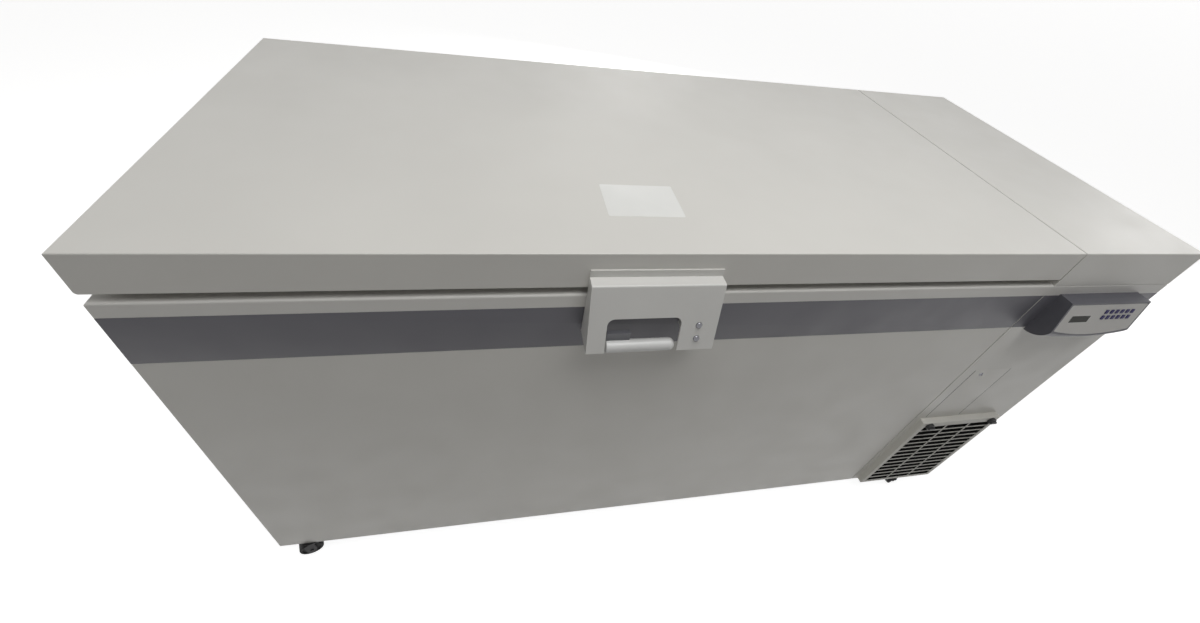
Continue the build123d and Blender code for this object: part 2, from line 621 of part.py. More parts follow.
# Pawl on the lever's shaft, and the keeper post on the cabinet beside it
with BuildPart() as latch_pawl:
    rod((pivot_x, strap_y[1], pivot_z), (0, -1, 0), SHAFT_RADIUS, strap_y[1] - blade_y[0])
    rod((pivot_x, pawl_y[0], pivot_z), (0, 1, 0), BOSS_RADIUS, PAWL_THICKNESS)
    slab(pawl_x, pawl_y, (pivot_z - PAWL_DROP, pivot_z))
save(latch_pawl, "latch_pawl")

with BuildPart() as latch_keeper:
    rod((keeper_x, front, pivot_z), (0, -1, 0), KEEPER_RADIUS, front - pawl_y[0])
    rod((keeper_x, front, pivot_z), (0, -1, 0), KEEPER_RADIUS + KEEPER_FOOT, KEEPER_FLANGE)
save(latch_keeper, "latch_keeper")

# Skins of the machine compartment
grille_x = (seam + GRILLE_LEFT, right - GRILLE_RIGHT)
grille_z = (underside + GRILLE_FOOT, underside + GRILLE_FOOT + GRILLE_HEIGHT)
with BuildPart() as machine_front_panel:
    slab((machine_left, right), (front, front + SHEET), panel_z)
    slab(grown(grille_x, -WINDOW_MARGIN), (front, front + SHEET), grown(grille_z, -WINDOW_MARGIN),
         Mode.SUBTRACT)
save(machine_front_panel, "machine_front_panel")

with BuildPart() as machine_side_panel:
    slab((right - SHEET, right), inside_y, panel_z)
save(machine_side_panel, "machine_side_panel")

entry_x = right - ENTRY_RIGHT
entry_z = underside + ENTRY_LIFT
entry_hole_x = (entry_x - ENTRY_WIDTH / 2 + ENTRY_LIP, entry_x + ENTRY_WIDTH / 2 - ENTRY_LIP)
rocker_z = entry_z + ROCKER_RISE
gland_z = entry_z - GLAND_DROP
well_z = (rocker_z - ROCKER_HEIGHT / 2 - WELL_CLEARANCE, rocker_z + ROCKER_HEIGHT / 2 + WELL_CLEARANCE)
entry_hole_z = (gland_z - GLAND_RADIUS - ENTRY_WALL, well_z[1] + ENTRY_WALL)
entry_plate_z = grown(entry_hole_z, ENTRY_LIP)
with BuildPart() as machine_rear_panel:
    slab((machine_left, right), (rear - SHEET, rear), panel_z)
    slab(entry_hole_x, (rear - SHEET, rear), entry_hole_z, Mode.SUBTRACT)
    for louvre in range(LOUVRE_COUNT):
        louvre_top = rim_bottom - LOUVRE_DROP - louvre * LOUVRE_PITCH
        slab((machine_left + LOUVRE_MARGIN, right - LOUVRE_MARGIN), (rear - SHEET, rear),
             (louvre_top - LOUVRE_HEIGHT, louvre_top), Mode.SUBTRACT)
save(machine_rear_panel, "machine_rear_panel")

# Power entry in the rear panel: plate, well for the rocker with its axle, and a blanked cord gland
rocker_y = rear
well_x = (entry_x - ROCKER_WIDTH / 2 - WELL_CLEARANCE, entry_x + ROCKER_WIDTH / 2 + WELL_CLEARANCE)
entry_face = rear + ENTRY_PLATE
with BuildPart() as power_entry:
    with BuildSketch(Plane.XZ.offset(-entry_face)):
        with Locations((entry_x, sum(entry_plate_z) / 2)):
            RectangleRounded(ENTRY_WIDTH, entry_plate_z[1] - entry_plate_z[0], ENTRY_CORNER)
    extrude(amount=ENTRY_PLATE)
    slab(grown(entry_hole_x, -ENTRY_CLEARANCE), (rear - ENTRY_DEPTH, rear),
         grown(entry_hole_z, -ENTRY_CLEARANCE))
    slab(well_x, (entry_face - WELL_DEPTH, entry_face), well_z, Mode.SUBTRACT)
    rod((well_x[0], rocker_y, rocker_z), (1, 0, 0), ROCKER_AXLE_RADIUS, well_x[1] - well_x[0])
    with BuildSketch(Plane.XZ.offset(-entry_face)):
        with Locations((entry_x, gland_z)):
            RegularPolygon(GLAND_RADIUS, 6)
    extrude(amount=-GLAND_LENGTH)
    fillet(power_entry.edges().group_by(Axis.Y)[-1], GLAND_ROUND)
save(power_entry, "power_entry")

with BuildPart() as power_switch:
    with BuildSketch(Plane.YZ.offset(entry_x - ROCKER_WIDTH / 2)):
        with Locations(Location((rocker_y, rocker_z, 0), (0, 0, ROCKER_TILT))):
            Polygon(
                (-ROCKER_DEPTH / 2, -ROCKER_HEIGHT / 3),
                (ROCKER_PROUD, -ROCKER_HEIGHT / 2),
                (ROCKER_PROUD - WELL_CLEARANCE, 0),
                (ROCKER_PROUD, ROCKER_HEIGHT / 2),
                (-ROCKER_DEPTH / 2, ROCKER_HEIGHT / 3),
                align=None,
            )
    extrude(amount=ROCKER_WIDTH)
    rod((entry_x - ROCKER_WIDTH / 2, rocker_y, rocker_z), (1, 0, 0), ROCKER_AXLE_RADIUS + RUNNING_FIT,
        ROCKER_WIDTH, Mode.SUBTRACT)
save(power_switch, "power_switch")

# Control panel: a hollow wedge with a sloping face
housing_middle = (seam + right) / 2 + HOUSING_SHIFT
housing_x = (housing_middle - HOUSING_WIDTH / 2, housing_middle + HOUSING_WIDTH / 2)
housing_top = HEIGHT - HOUSING_DROP
face_lean = HOUSING_REACH - HOUSING_TOP_REACH
face_length = math.hypot(FACE_HEIGHT, face_lean)


def housing_profile(x, back):
    """Draws the housing's section at an x, from its ridge to its rounded belly, closed at a back line."""
    bow = CHIN_BOW * (1 - (2 * (x - housing_middle) / HOUSING_WIDTH) ** 2)
    ridge = Vector(front - HOUSING_TOP_REACH, housing_top)
    chin = ridge - Vector(face_lean, FACE_HEIGHT) * (1 + bow / face_length)
    heel = Vector(back, housing_top - HOUSING_HEIGHT)
    bulge = (heel - chin).normalized().rotate(Axis.Z, -90) * BELLY_BULGE
    belly = (chin + heel) / 2 + bulge
    with BuildLine() as side:
        Polyline((back, housing_top), ridge, chin)
        ThreePointArc(chin, belly, heel)
        Line(heel, (back, housing_top))
    return make_face(side.line.edges(), mode=Mode.PRIVATE)


face_plane = Plane(
    origin=(housing_middle, front - HOUSING_TOP_REACH, housing_top),
    x_dir=(1, 0, 0),
    z_dir=(0, -FACE_HEIGHT, face_lean),
)
key_pitch = KEY_WIDTH + KEY_GAP
keys_width = (KEY_COLUMNS - 1) * key_pitch + KEY_WIDTH
row_margin = (HOUSING_WIDTH - DISPLAY_WIDTH - DISPLAY_KEY_GAP - keys_width) / 2
display_place = (row_margin + (DISPLAY_WIDTH - HOUSING_WIDTH) / 2 + FACE_SHIFT, -DISPLAY_DROP)
key_start = (HOUSING_WIDTH + KEY_WIDTH) / 2 - row_margin - keys_width + FACE_SHIFT
key_places = {}
for row in range(KEY_ROWS):
    for column in range(KEY_COLUMNS):
        height = (KEY_HEIGHT + KEY_ROW_GAP) * ((KEY_ROWS - 1) / 2 - row) - KEY_DROP
        key_places[f"key_{row + 1}_{column + 1}"] = (key_start + column * key_pitch, height)


def on_face(place, size, corner, bottom, top, mode=Mode.ADD):
    """Adds a rounded plate that lies along the sloping face to the piece being built, or cuts it out."""
    with BuildSketch(face_plane.offset(bottom)) as outline:
        with Locations(place):
            RectangleRounded(*size, corner)
    extrude(outline.sketch, amount=top - bottom, mode=mode)


def fascia_plate(margin, mode=Mode.ADD):
    """Adds a plate in the sloping face, at a margin from the housing's edges, or cuts it out."""
    half = HOUSING_WIDTH / 2 - margin
    foot = margin - face_length
    with BuildSketch(face_plane.offset(-FASCIA_THICKNESS)) as outline:
        with BuildLine():
            Polyline((half, foot), (half, -margin), (-half, -margin), (-half, foot))
            ThreePointArc((-half, foot), (0, foot - CHIN_BOW), (half, foot))
        make_face()
        fillet(outline.vertices(), FASCIA_CORNER)
    extrude(outline.sketch, amount=FASCIA_THICKNESS, mode=mode)


key_hole = (KEY_WIDTH + 2 * KEY_CLEARANCE, KEY_HEIGHT + 2 * KEY_CLEARANCE)
with BuildPart() as control_housing:
    for x in (housing_x[0], housing_middle, housing_x[1]):
        with BuildSketch(Plane.YZ.offset(x)):
            add(housing_profile(x, front))
    loft()
    for x in (housing_x[0] + HOUSING_WALL, housing_middle, housing_x[1] - HOUSING_WALL):
        with BuildSketch(Plane.YZ.offset(x)):
            add(housing_profile(x, front + HOUSING_OVERRUN))
            offset(amount=-HOUSING_WALL, mode=Mode.REPLACE)
    loft(mode=Mode.SUBTRACT)
    fascia_plate(FASCIA_MARGIN - FASCIA_CLEARANCE, Mode.SUBTRACT)
    for place in key_places.values():
        on_face(place, key_hole, KEY_ROUND, -HOUSING_WALL, 0, Mode.SUBTRACT)
save(control_housing, "control_housing")

with BuildPart() as control_fascia:
    fascia_plate(FASCIA_MARGIN)
    on_face(display_place, (DISPLAY_WIDTH + 2 * FASCIA_CLEARANCE, DISPLAY_HEIGHT + 2 * FASCIA_CLEARANCE),
            KEY_ROUND, -DISPLAY_THICKNESS, 0, Mode.SUBTRACT)
    for place in key_places.values():
        on_face(place, key_hole, KEY_ROUND, -FASCIA_THICKNESS, 0, Mode.SUBTRACT)
save(control_fascia, "control_fascia")

with BuildPart() as display_window:
    on_face(display_place, (DISPLAY_WIDTH, DISPLAY_HEIGHT), KEY_ROUND, -DISPLAY_THICKNESS, 0)
save(display_window, "display_window")

for name, place in key_places.items():
    with BuildPart() as key:
        on_face(place, (KEY_WIDTH, KEY_HEIGHT), KEY_ROUND, -HOUSING_WALL, KEY_PROUD)
        on_face(place, (KEY_WIDTH + 2 * KEY_FLANGE, KEY_HEIGHT + 2 * KEY_FLANGE), KEY_ROUND,
                -HOUSING_WALL - KEY_FLANGE_THICKNESS, -HOUSING_WALL)
    save(key, name)

# Intake grille with its slots, two knobs and the filter behind it
grille_width = grille_x[1] - grille_x[0]
grille_front = front - GRILLE_REACH
slot_pitch_x = (grille_width - 2 * GRILLE_SIDE + POST) / SLOT_COLUMNS
slot_pitch_z = (GRILLE_HEIGHT - GRILLE_HEAD - GRILLE_TOE + SLAT) / SLOT_ROWS
slot_middle = (sum(grille_x) / 2, (grille_z[0] + GRILLE_TOE + grille_z[1] - GRILLE_HEAD) / 2)
knob_z = grille_z[1] - KNOB_DROP
knob_places = {
    "grille_knob_left": grille_x[0] + KNOB_INSET,
    "grille_knob_right": grille_x[1] - KNOB_INSET,
}
filter_x = grown(grille_x, -GRILLE_SHEET - FILTER_CLEARANCE)
filter_z = (grille_z[0] + GRILLE_SHEET, grille_z[1] - GRILLE_SHEET - FILTER_CLEARANCE)
filter_y = (grille_front + GRILLE_SHEET, grille_front + GRILLE_SHEET + FILTER_THICKNESS)
with BuildPart() as intake_grille:
    slab(grille_x, (grille_front, front), grille_z)
    fillet(intake_grille.faces().sort_by(Axis.Y)[0].edges(), GRILLE_EDGE)
    slab(grown(grille_x, -GRILLE_SHEET), (grille_front + GRILLE_SHEET, front),
         grown(grille_z, -GRILLE_SHEET), Mode.SUBTRACT)
    with BuildSketch(Plane.XZ.offset(-front)):
        with Locations(slot_middle):
            with GridLocations(slot_pitch_x, slot_pitch_z, SLOT_COLUMNS, SLOT_ROWS):
                Rectangle(slot_pitch_x - POST, slot_pitch_z - SLAT)
    extrude(amount=GRILLE_REACH, mode=Mode.SUBTRACT)
    for x in knob_places.values():
        rod((x, grille_front, knob_z), (0, 1, 0), KNOB_SHAFT_RADIUS + RUNNING_FIT, GRILLE_SHEET,
            Mode.SUBTRACT)
save(intake_grille, "intake_grille")

with BuildPart() as air_filter:
    slab(filter_x, filter_y, filter_z)
save(air_filter, "air_filter")

for name, x in knob_places.items():
    with BuildPart() as knob:
        rod((x, grille_front, knob_z), (0, -1, 0), KNOB_RADIUS, KNOB_LENGTH)
        fillet(knob.edges().sort_by(Axis.Y)[0], KNOB_EDGE)
        slab((x - WING_LENGTH / 2, x + WING_LENGTH / 2),
             (grille_front - KNOB_LENGTH - WING_HEIGHT, grille_front - KNOB_LENGTH),
             (knob_z - WING_WIDTH / 2, knob_z + WING_WIDTH / 2))
        rod((x, grille_front, knob_z), (0, 1, 0), KNOB_SHAFT_RADIUS, GRILLE_SHEET - KNOB_SHAFT_SPACE)
    save(knob, name)

# Condenser behind the grille, a grooved fin block between two end plates
condenser_x = grown(grille_x, -CONDENSER_SIDE)
condenser_y = (front + CONDENSER_SETBACK, front + CONDENSER_SETBACK + CONDENSER_DEPTH)
condenser_z = (base_top, base_top + CONDENSER_HEIGHT)
fin_pitch = (condenser_x[1] - condenser_x[0]) / FIN_COUNT
with BuildPart() as condenser:
    slab(condenser_x, grown(condenser_y, -END_PLATE_MARGIN), condenser_z)
    for fin in range(1, FIN_COUNT):
        groove = condenser_x[0] + fin * fin_pitch
        slab((groove - FIN_GROOVE / 2, groove + FIN_GROOVE / 2),
             (condenser_y[0] + END_PLATE_MARGIN, condenser_y[0] + END_PLATE_MARGIN + FIN_DEPTH), condenser_z,
             Mode.SUBTRACT)
    slab((condenser_x[0] - END_PLATE, condenser_x[0]), condenser_y, condenser_z)
    slab((condenser_x[1], condenser_x[1] + END_PLATE), condenser_y, condenser_z)
save(condenser, "condenser")

# Condenser fan on the shaft of a motor that stands on the base
fan_x = sum(condenser_x) / 2
fan_z = base_top + CONDENSER_HEIGHT / 2
fan_y = (condenser_y[1] + FAN_GAP, condenser_y[1] + FAN_GAP + FAN_DEPTH)
motor_y = (fan_y[1] + MOTOR_GAP, fan_y[1] + MOTOR_GAP + MOTOR_LENGTH)
pedestal_y = (motor_y[0], motor_y[0] + PEDESTAL_LENGTH)
with BuildPart() as fan_motor:
    rod((fan_x, motor_y[0], fan_z), (0, 1, 0), MOTOR_RADIUS, MOTOR_LENGTH)
    slab((fan_x - PEDESTAL_WIDTH / 2, fan_x + PEDESTAL_WIDTH / 2), pedestal_y, (base_top, fan_z))
    rod((fan_x, fan_y[0], fan_z), (0, 1, 0), FAN_SHAFT_RADIUS, motor_y[0] - fan_y[0])
save(fan_motor, "fan_motor")

fan_plane = Plane(origin=(fan_x, sum(fan_y) / 2, fan_z), x_dir=(1, 0, 0), z_dir=(0, -1, 0))
blade_reach = FAN_RADIUS - FAN_HUB_RADIUS / 2
with BuildPart(fan_plane) as fan:
    Cylinder(FAN_HUB_RADIUS, FAN_DEPTH)
    with PolarLocations(FAN_HUB_RADIUS / 2 + blade_reach / 2, FAN_BLADES):
        Box(blade_reach, BLADE_CHORD, FAN_BLADE_SHEET, rotation=(BLADE_TILT, 0, 0))
    Cylinder(FAN_SHAFT_RADIUS + RUNNING_FIT, FAN_DEPTH, mode=Mode.SUBTRACT)
save(fan, "fan")

# Two hermetic compressors on rubber grommets, for the two stages of the refrigeration
compressor_back = rear - CASTER_INSET_Y - SOCKET_RADIUS - COMPRESSOR_SPACE
compressor_pitch = (compressor_back - motor_y[1]) / COMPRESSOR_COUNT
compressor_places = [motor_y[1] + (i + 0.5) * compressor_pitch for i in range(COMPRESSOR_COUNT)]
grommet_reach = COMPRESSOR_PLATE_SIDE / 2 - GROMMET_INSET
plate_z = base_top + GROMMET_HEIGHT
can_z = plate_z + COMPRESSOR_PLATE
with BuildPart() as compressors:
    for y in compressor_places:
        rod((machine_middle, y, can_z), (0, 0, 1), COMPRESSOR_RADIUS, COMPRESSOR_HEIGHT)
    fillet(compressors.edges().group_by(Axis.Z)[-1], COMPRESSOR_DOME)
    for y in compressor_places:
        slab((machine_middle - COMPRESSOR_PLATE_SIDE / 2, machine_middle + COMPRESSOR_PLATE_SIDE / 2),
             (y - COMPRESSOR_PLATE_SIDE / 2, y + COMPRESSOR_PLATE_SIDE / 2), (plate_z, can_z))
        for dx in (-grommet_reach, grommet_reach):
            for dy in (-grommet_reach, grommet_reach):
                rod((machine_middle + dx, y + dy, base_top), (0, 0, 1), GROMMET_RADIUS, GROMMET_HEIGHT)
save(compressors, "compressors")

# Heat exchanger between the two stages, in its foam jacket on the bulkhead
exchanger_top = rim_bottom - EXCHANGER_DROP
exchanger_y = ((front + rear - EXCHANGER_LENGTH) / 2, (front + rear + EXCHANGER_LENGTH) / 2)
with BuildPart() as heat_exchanger:
    slab((seam + SHEET / 2, seam + SHEET / 2 + EXCHANGER_DEPTH), exchanger_y,
         (exchanger_top - EXCHANGER_HEIGHT, exchanger_top))
    fillet(heat_exchanger.faces().sort_by(Axis.X)[-1].edges(), EXCHANGER_EDGE)
save(heat_exchanger, "heat_exchanger")

# Swivel casters: a fork with its stem and axle, and a wheel
fork_top = underside - SWIVEL_GAP
fork_low = fork_top - FORK_BRIDGE
cheek = WHEEL_WIDTH / 2 + FORK_SIDE_GAP
for name, (x, y) in caster_places.items():
    axle_x = x - CASTER_TRAIL
    swivel = Axis((x, y, 0), (0, 0, 1))
    with BuildPart() as fork:
        slab((axle_x - FORK_HALF, x + FORK_NOSE), (y - cheek - FORK_SHEET, y + cheek + FORK_SHEET),
             (fork_low, fork_top))
        fillet(fork.edges().filter_by(Axis.Z), FORK_HALF)
        for inner in (y - cheek - FORK_SHEET, y + cheek):
            slab((axle_x - FORK_HALF, axle_x + FORK_HALF), (inner, inner + FORK_SHEET),
                 (WHEEL_RADIUS, fork_low))
            rod((axle_x, inner, WHEEL_RADIUS), (0, 1, 0), FORK_HALF, FORK_SHEET)
        axle_start = y - cheek - FORK_SHEET - AXLE_HEAD
        rod((axle_x, axle_start, WHEEL_RADIUS), (0, 1, 0), AXLE_RADIUS, 2 * (y - axle_start))
        rod((x, y, fork_low), (0, 0, 1), STEM_RADIUS, underside + STEM_LENGTH - fork_low)
    with BuildPart() as turned_fork:
        add(fork.part.rotate(swivel, CASTER_TURN))
    save(turned_fork, f"{name}_fork")

    with BuildPart() as wheel:
        wheel_start = y - WHEEL_WIDTH / 2
        rod((axle_x, wheel_start, WHEEL_RADIUS), (0, 1, 0), WHEEL_RADIUS, WHEEL_WIDTH)
        fillet(wheel.edges().filter_by(GeomType.CIRCLE), WHEEL_EDGE)
        for side, inwards in ((wheel_start, 1), (wheel_start + WHEEL_WIDTH, -1)):
            rod((axle_x, side, WHEEL_RADIUS), (0, inwards, 0), WHEEL_RADIUS - WHEEL_RIM, WHEEL_DISH,
                Mode.SUBTRACT)
            rod((axle_x, side, WHEEL_RADIUS), (0, inwards, 0), HUB_FACE_RADIUS, WHEEL_DISH)
        rod((axle_x, wheel_start, WHEEL_RADIUS), (0, 1, 0), AXLE_RADIUS + RUNNING_FIT, WHEEL_WIDTH,
            Mode.SUBTRACT)
    with BuildPart() as turned_wheel:
        add(wheel.part.rotate(swivel, CASTER_TURN))
    save(turned_wheel, f"{name}_wheel")
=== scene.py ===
"""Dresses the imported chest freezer: a finish for every solid, small fittings, studio and camera.

Lengths are metres in the freezer's own frame: +X right, +Y back, +Z up, floor at zero. Sizes that a maker would
read off a drawing are given in millimetres and multiplied by MM.
"""
import logging
from dataclasses import dataclass, replace
from enum import Enum
from itertools import product
from typing import Any, Mapping, Optional, Sequence

import bpy
import numpy as np
from mathutils import Matrix, Vector


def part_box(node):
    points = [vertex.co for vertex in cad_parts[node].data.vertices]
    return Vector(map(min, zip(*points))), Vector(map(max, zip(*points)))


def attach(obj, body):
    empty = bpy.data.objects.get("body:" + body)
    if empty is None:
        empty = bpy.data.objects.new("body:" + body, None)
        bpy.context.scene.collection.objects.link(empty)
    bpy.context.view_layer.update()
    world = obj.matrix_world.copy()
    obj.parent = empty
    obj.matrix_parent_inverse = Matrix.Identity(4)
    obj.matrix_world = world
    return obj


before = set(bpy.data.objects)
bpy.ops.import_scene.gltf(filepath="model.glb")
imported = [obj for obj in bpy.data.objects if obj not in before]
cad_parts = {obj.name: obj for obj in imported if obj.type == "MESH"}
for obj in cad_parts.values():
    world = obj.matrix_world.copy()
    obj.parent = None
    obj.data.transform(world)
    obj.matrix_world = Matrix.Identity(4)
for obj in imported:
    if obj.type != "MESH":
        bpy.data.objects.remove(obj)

MM = 0.001
LOG = logging.getLogger("freezer")
Colour = tuple[float, float, float, float]
# Range in which nearly all of a noise texture lies.
NOISE_SPAN = {"From Min": 0.3, "From Max": 0.7}
# Edges sharper than this stay crisp.
SHARP_ANGLE = np.radians(35.0)


def linear(code: str) -> Colour:
    """Turns an sRGB hex value into a linear colour.

    Args:
        code: Six hex digits, with or without a leading hash.

    Returns:
        Red, green, blue and alpha for a shader socket.
    """
    channels = np.array([int(code.lstrip("#")[i:i + 2], 16) / 255 for i in (0, 2, 4)])
    low, high = channels / 12.92, ((channels + 0.055) / 1.055) ** 2.4
    return (*np.where(channels <= 0.04045, low, high).tolist(), 1.0)


def add_node(tree: bpy.types.NodeTree, kind: str, values: Optional[Mapping[Any, Any]] = None,
             links: Optional[Mapping[Any, bpy.types.NodeSocket]] = None, **settings: Any) -> bpy.types.Node:
    """Adds one shader node with its settings, socket values and incoming links.

    Args:
        tree: Node tree of the material.
        kind: Node type without its "ShaderNode" prefix.
        values: Socket name or index to the value that it keeps.
        links: Socket name or index to the output that feeds it.
        **settings: Attributes of the node.

    Returns:
        The new node.
    """
    node = tree.nodes.new("ShaderNode" + kind)
    for key, value in settings.items():
        setattr(node, key, value)
    for socket, value in (values or {}).items():
        node.inputs[socket].default_value = value
    for socket, output in (links or {}).items():
        tree.links.new(output, node.inputs[socket])
    return node


def per_metre(size_mm: float) -> float:
    """Gives the texture scale at which one feature is as wide as a size in millimetres."""
    return 1.0 / (size_mm * MM)


class Grain(Enum):
    """Direction in which a metal was brushed or drawn, as stretch factors of the pattern along X, Y and Z."""

    ALONG_X = (0.02, 1.0, 1.0)
    ALONG_Z = (1.0, 1.0, 0.02)


@dataclass(frozen=True)
class Finish:
    """A surface as it leaves the maker: base colour, gloss, and a relief worked out from real sizes.

    The colour is clouded by a soft noise, the roughness by a second one, and a fine noise gives the relief:
    colour = base * (1 + cloud * (2 n1 - 1)), roughness = base + smudge * (2 n2 - 1), height = relief * n3.
    """

    name: str
    colour: str
    roughness: float
    relief_mm: float
    grain_mm: float
    cloud: float = 0.03
    cloud_mm: float = 240.0
    smudge: float = 0.05
    smudge_mm: float = 70.0
    metallic: float = 0.0
    ior: float = 1.5

    def build(self) -> bpy.types.Material:
        """Makes the material.

        Returns:
            A material with a Principled shader fed by the finish's patterns.
        """
        material = bpy.data.materials.new(self.name)
        material.use_nodes = True
        tree = material.node_tree
        shader = tree.nodes["Principled BSDF"]
        shader.inputs["Metallic"].default_value = self.metallic
        if not self.metallic:
            shader.inputs["IOR"].default_value = self.ior
        place = add_node(tree, "TexCoord").outputs["Object"]
        self.paint(tree, shader, place)
        self.texture(tree, shader, place)
        return material

    def paint(self, tree: bpy.types.NodeTree, shader: bpy.types.Node, place: bpy.types.NodeSocket) -> None:
        """Feeds the clouded colour and the smudged roughness to the shader.

        Args:
            tree: Node tree of the material.
            shader: Its Principled shader.
            place: Object coordinates.
        """
        clouds = add_node(tree, "TexNoise", {"Scale": per_metre(self.cloud_mm), "Detail": 3.0},
                          {"Vector": place})
        shade = add_node(tree, "MapRange", NOISE_SPAN | {"To Min": 1.0 - self.cloud, "To Max": 1.0 + self.cloud},
                         {"Value": clouds.outputs["Fac"]})
        tint = add_node(tree, "HueSaturation", {"Color": linear(self.colour)}, {"Value": shade.outputs["Result"]})
        tree.links.new(tint.outputs["Color"], shader.inputs["Base Color"])
        marks = add_node(tree, "TexNoise", {"Scale": per_metre(self.smudge_mm), "Detail": 5.0}, {"Vector": place})
        gloss = add_node(tree, "MapRange", NOISE_SPAN | {"To Min": self.roughness - self.smudge,
                                                         "To Max": self.roughness + self.smudge},
                         {"Value": marks.outputs["Fac"]})
        tree.links.new(gloss.outputs["Result"], shader.inputs["Roughness"])

    def texture(self, tree: bpy.types.NodeTree, shader: bpy.types.Node, place: bpy.types.NodeSocket) -> None:
        """Feeds a fine even relief to the shader's normal.

        Args:
            tree: Node tree of the material.
            shader: Its Principled shader.
            place: Object coordinates.
        """
        grain = add_node(tree, "TexNoise", {"Scale": per_metre(self.grain_mm), "Detail": 2.0}, {"Vector": place})
        self.emboss(tree, shader, grain.outputs["Fac"])

    def emboss(self, tree: bpy.types.NodeTree, shader: bpy.types.Node, height: bpy.types.NodeSocket) -> None:
        """Turns a height between 0 and 1 into the finish's relief.

        Args:
            tree: Node tree of the material.
            shader: Its Principled shader.
            height: Output that holds the height.
        """
        bump = add_node(tree, "Bump", {"Strength": 1.0, "Distance": self.relief_mm * MM}, {"Height": height})
        tree.links.new(bump.outputs["Normal"], shader.inputs["Normal"])


@dataclass(frozen=True)
class BrushedMetal(Finish):
    """Metal with fine parallel scratches: the noise is stretched fifty times along the brushing."""

    grain: Grain = Grain.ALONG_X

    def texture(self, tree: bpy.types.NodeTree, shader: bpy.types.Node, place: bpy.types.NodeSocket) -> None:
        """Feeds the scratches to the shader's normal.

        Args:
            tree: Node tree of the material.
            shader: Its Principled shader.
            place: Object coordinates.
        """
        stretched = add_node(tree, "Mapping", {"Scale": self.grain.value}, {"Vector": place})
        lines = add_node(tree, "TexNoise", {"Scale": per_metre(self.grain_mm), "Detail": 3.0},
                         {"Vector": stretched.outputs["Vector"]})
        self.emboss(tree, shader, lines.outputs["Fac"])


@dataclass(frozen=True)
class CellularFinish(Finish):
    """A surface of small cells, such as foam bubbles, zinc crystals or fine spark texture, from a Voronoi pattern.

    Each cell's own random value shades it by plus or minus the flake amount.
    """

    flake: float = 0.06

    def texture(self, tree: bpy.types.NodeTree, shader: bpy.types.Node, place: bpy.types.NodeSocket) -> None:
        """Feeds the cells to the shader's colour and normal.

        Args:
            tree: Node tree of the material.
            shader: Its Principled shader.
            place: Object coordinates.
        """
        cells = add_node(tree, "TexVoronoi", {"Scale": per_metre(self.grain_mm)}, {"Vector": place})
        value = add_node(tree, "SeparateColor", links={"Color": cells.outputs["Color"]})
        shade = add_node(tree, "MapRange", {"To Min": 1.0 - self.flake, "To Max": 1.0 + self.flake},
                         {"Value": value.outputs["Red"]})
        base = shader.inputs["Base Color"].links[0].from_socket
        flaked = add_node(tree, "HueSaturation", links={"Color": base, "Value": shade.outputs["Result"]})
        tree.links.new(flaked.outputs["Color"], shader.inputs["Base Color"])
        self.emboss(tree, shader, cells.outputs["Distance"])


@dataclass(frozen=True)
class WovenMesh(Finish):
    """Woven filter cloth: two crossed sine waves, one thread pitch apart, with dark holes where both are low."""

    def texture(self, tree: bpy.types.NodeTree, shader: bpy.types.Node, place: bpy.types.NodeSocket) -> None:
        """Feeds the weave to the shader's colour and normal.

        Args:
            tree: Node tree of the material.
            shader: Its Principled shader.
            place: Object coordinates.
        """
        threads = [
            add_node(tree, "TexWave", {"Scale": per_metre(self.grain_mm) / np.pi / 2}, {"Vector": place},
                     bands_direction=axis)
            for axis in ("X", "Z")
        ]
        weave = add_node(tree, "Math", links={0: threads[0].outputs["Fac"], 1: threads[1].outputs["Fac"]},
                         operation="MAXIMUM")
        base = shader.inputs["Base Color"].links[0].from_socket
        dark = add_node(tree, "HueSaturation", links={"Color": base, "Value": weave.outputs["Value"]})
        tree.links.new(dark.outputs["Color"], shader.inputs["Base Color"])
        self.emboss(tree, shader, weave.outputs["Value"])


@dataclass(frozen=True)
class GuardedBar(Finish):
    """Satin bar whose finger guard, all of the lever that stands above the bar, is drawn darker: painted shade on the
    bar's own metal, as if it lay in shadow.
    """

    # Painted shade: the guard's metal is drawn in this dark grey as if it lay in shadow.
    guard_shade_colour: str = "#66676C"
    guard_level: float = 0.0

    def texture(self, tree: bpy.types.NodeTree, shader: bpy.types.Node, place: bpy.types.NodeSocket) -> None:
        """Feeds the relief to the shader's normal and the guard's painted shade to its colour.

        Args:
            tree: Node tree of the material.
            shader: Its Principled shader.
            place: Object coordinates.
        """
        super().texture(tree, shader, place)
        # Above the guard level the colour turns to the painted shade.
        height = add_node(tree, "SeparateXYZ", links={"Vector": place})
        above = add_node(tree, "Math", {1: self.guard_level}, {0: height.outputs["Z"]}, operation="GREATER_THAN")
        base = shader.inputs["Base Color"].links[0].from_socket
        shaded_guard = add_node(tree, "MixRGB", {"Color2": linear(self.guard_shade_colour)},
                          {"Fac": above.outputs["Value"], "Color1": base})
        tree.links.new(shaded_guard.outputs["Color"], shader.inputs["Base Color"])


# Powder coated sheet: pale warm grey with a slight orange peel, a soft sheen and faint handling marks.
BODY_COAT = Finish("powder_coated_steel_sheet", "#DAD8D2", roughness=0.40, relief_mm=0.02, grain_mm=3.0, cloud=0.02,
                   smudge=0.06)
# Painted latch: the same paint on a thicker folded plate, a little smoother.
LATCH_COAT = Finish("painted_folded_plate", "#D6D5D1", roughness=0.36, relief_mm=0.012, grain_mm=2.4, cloud=0.02,
                    cloud_mm=90.0)
# Rim moulding: pale ABS, satin, with a barely visible mould texture.
RIM_ABS = Finish("satin_abs_rim", "#DEDCD7", roughness=0.42, relief_mm=0.01, grain_mm=1.6, cloud=0.015)
# Charcoal film along the front: smooth vinyl that looks flatter than the paint around it.
BAND_VINYL = Finish("charcoal_vinyl_film", "#55545A", roughness=0.46, relief_mm=0.006, grain_mm=1.4, cloud=0.03,
                    cloud_mm=160.0)
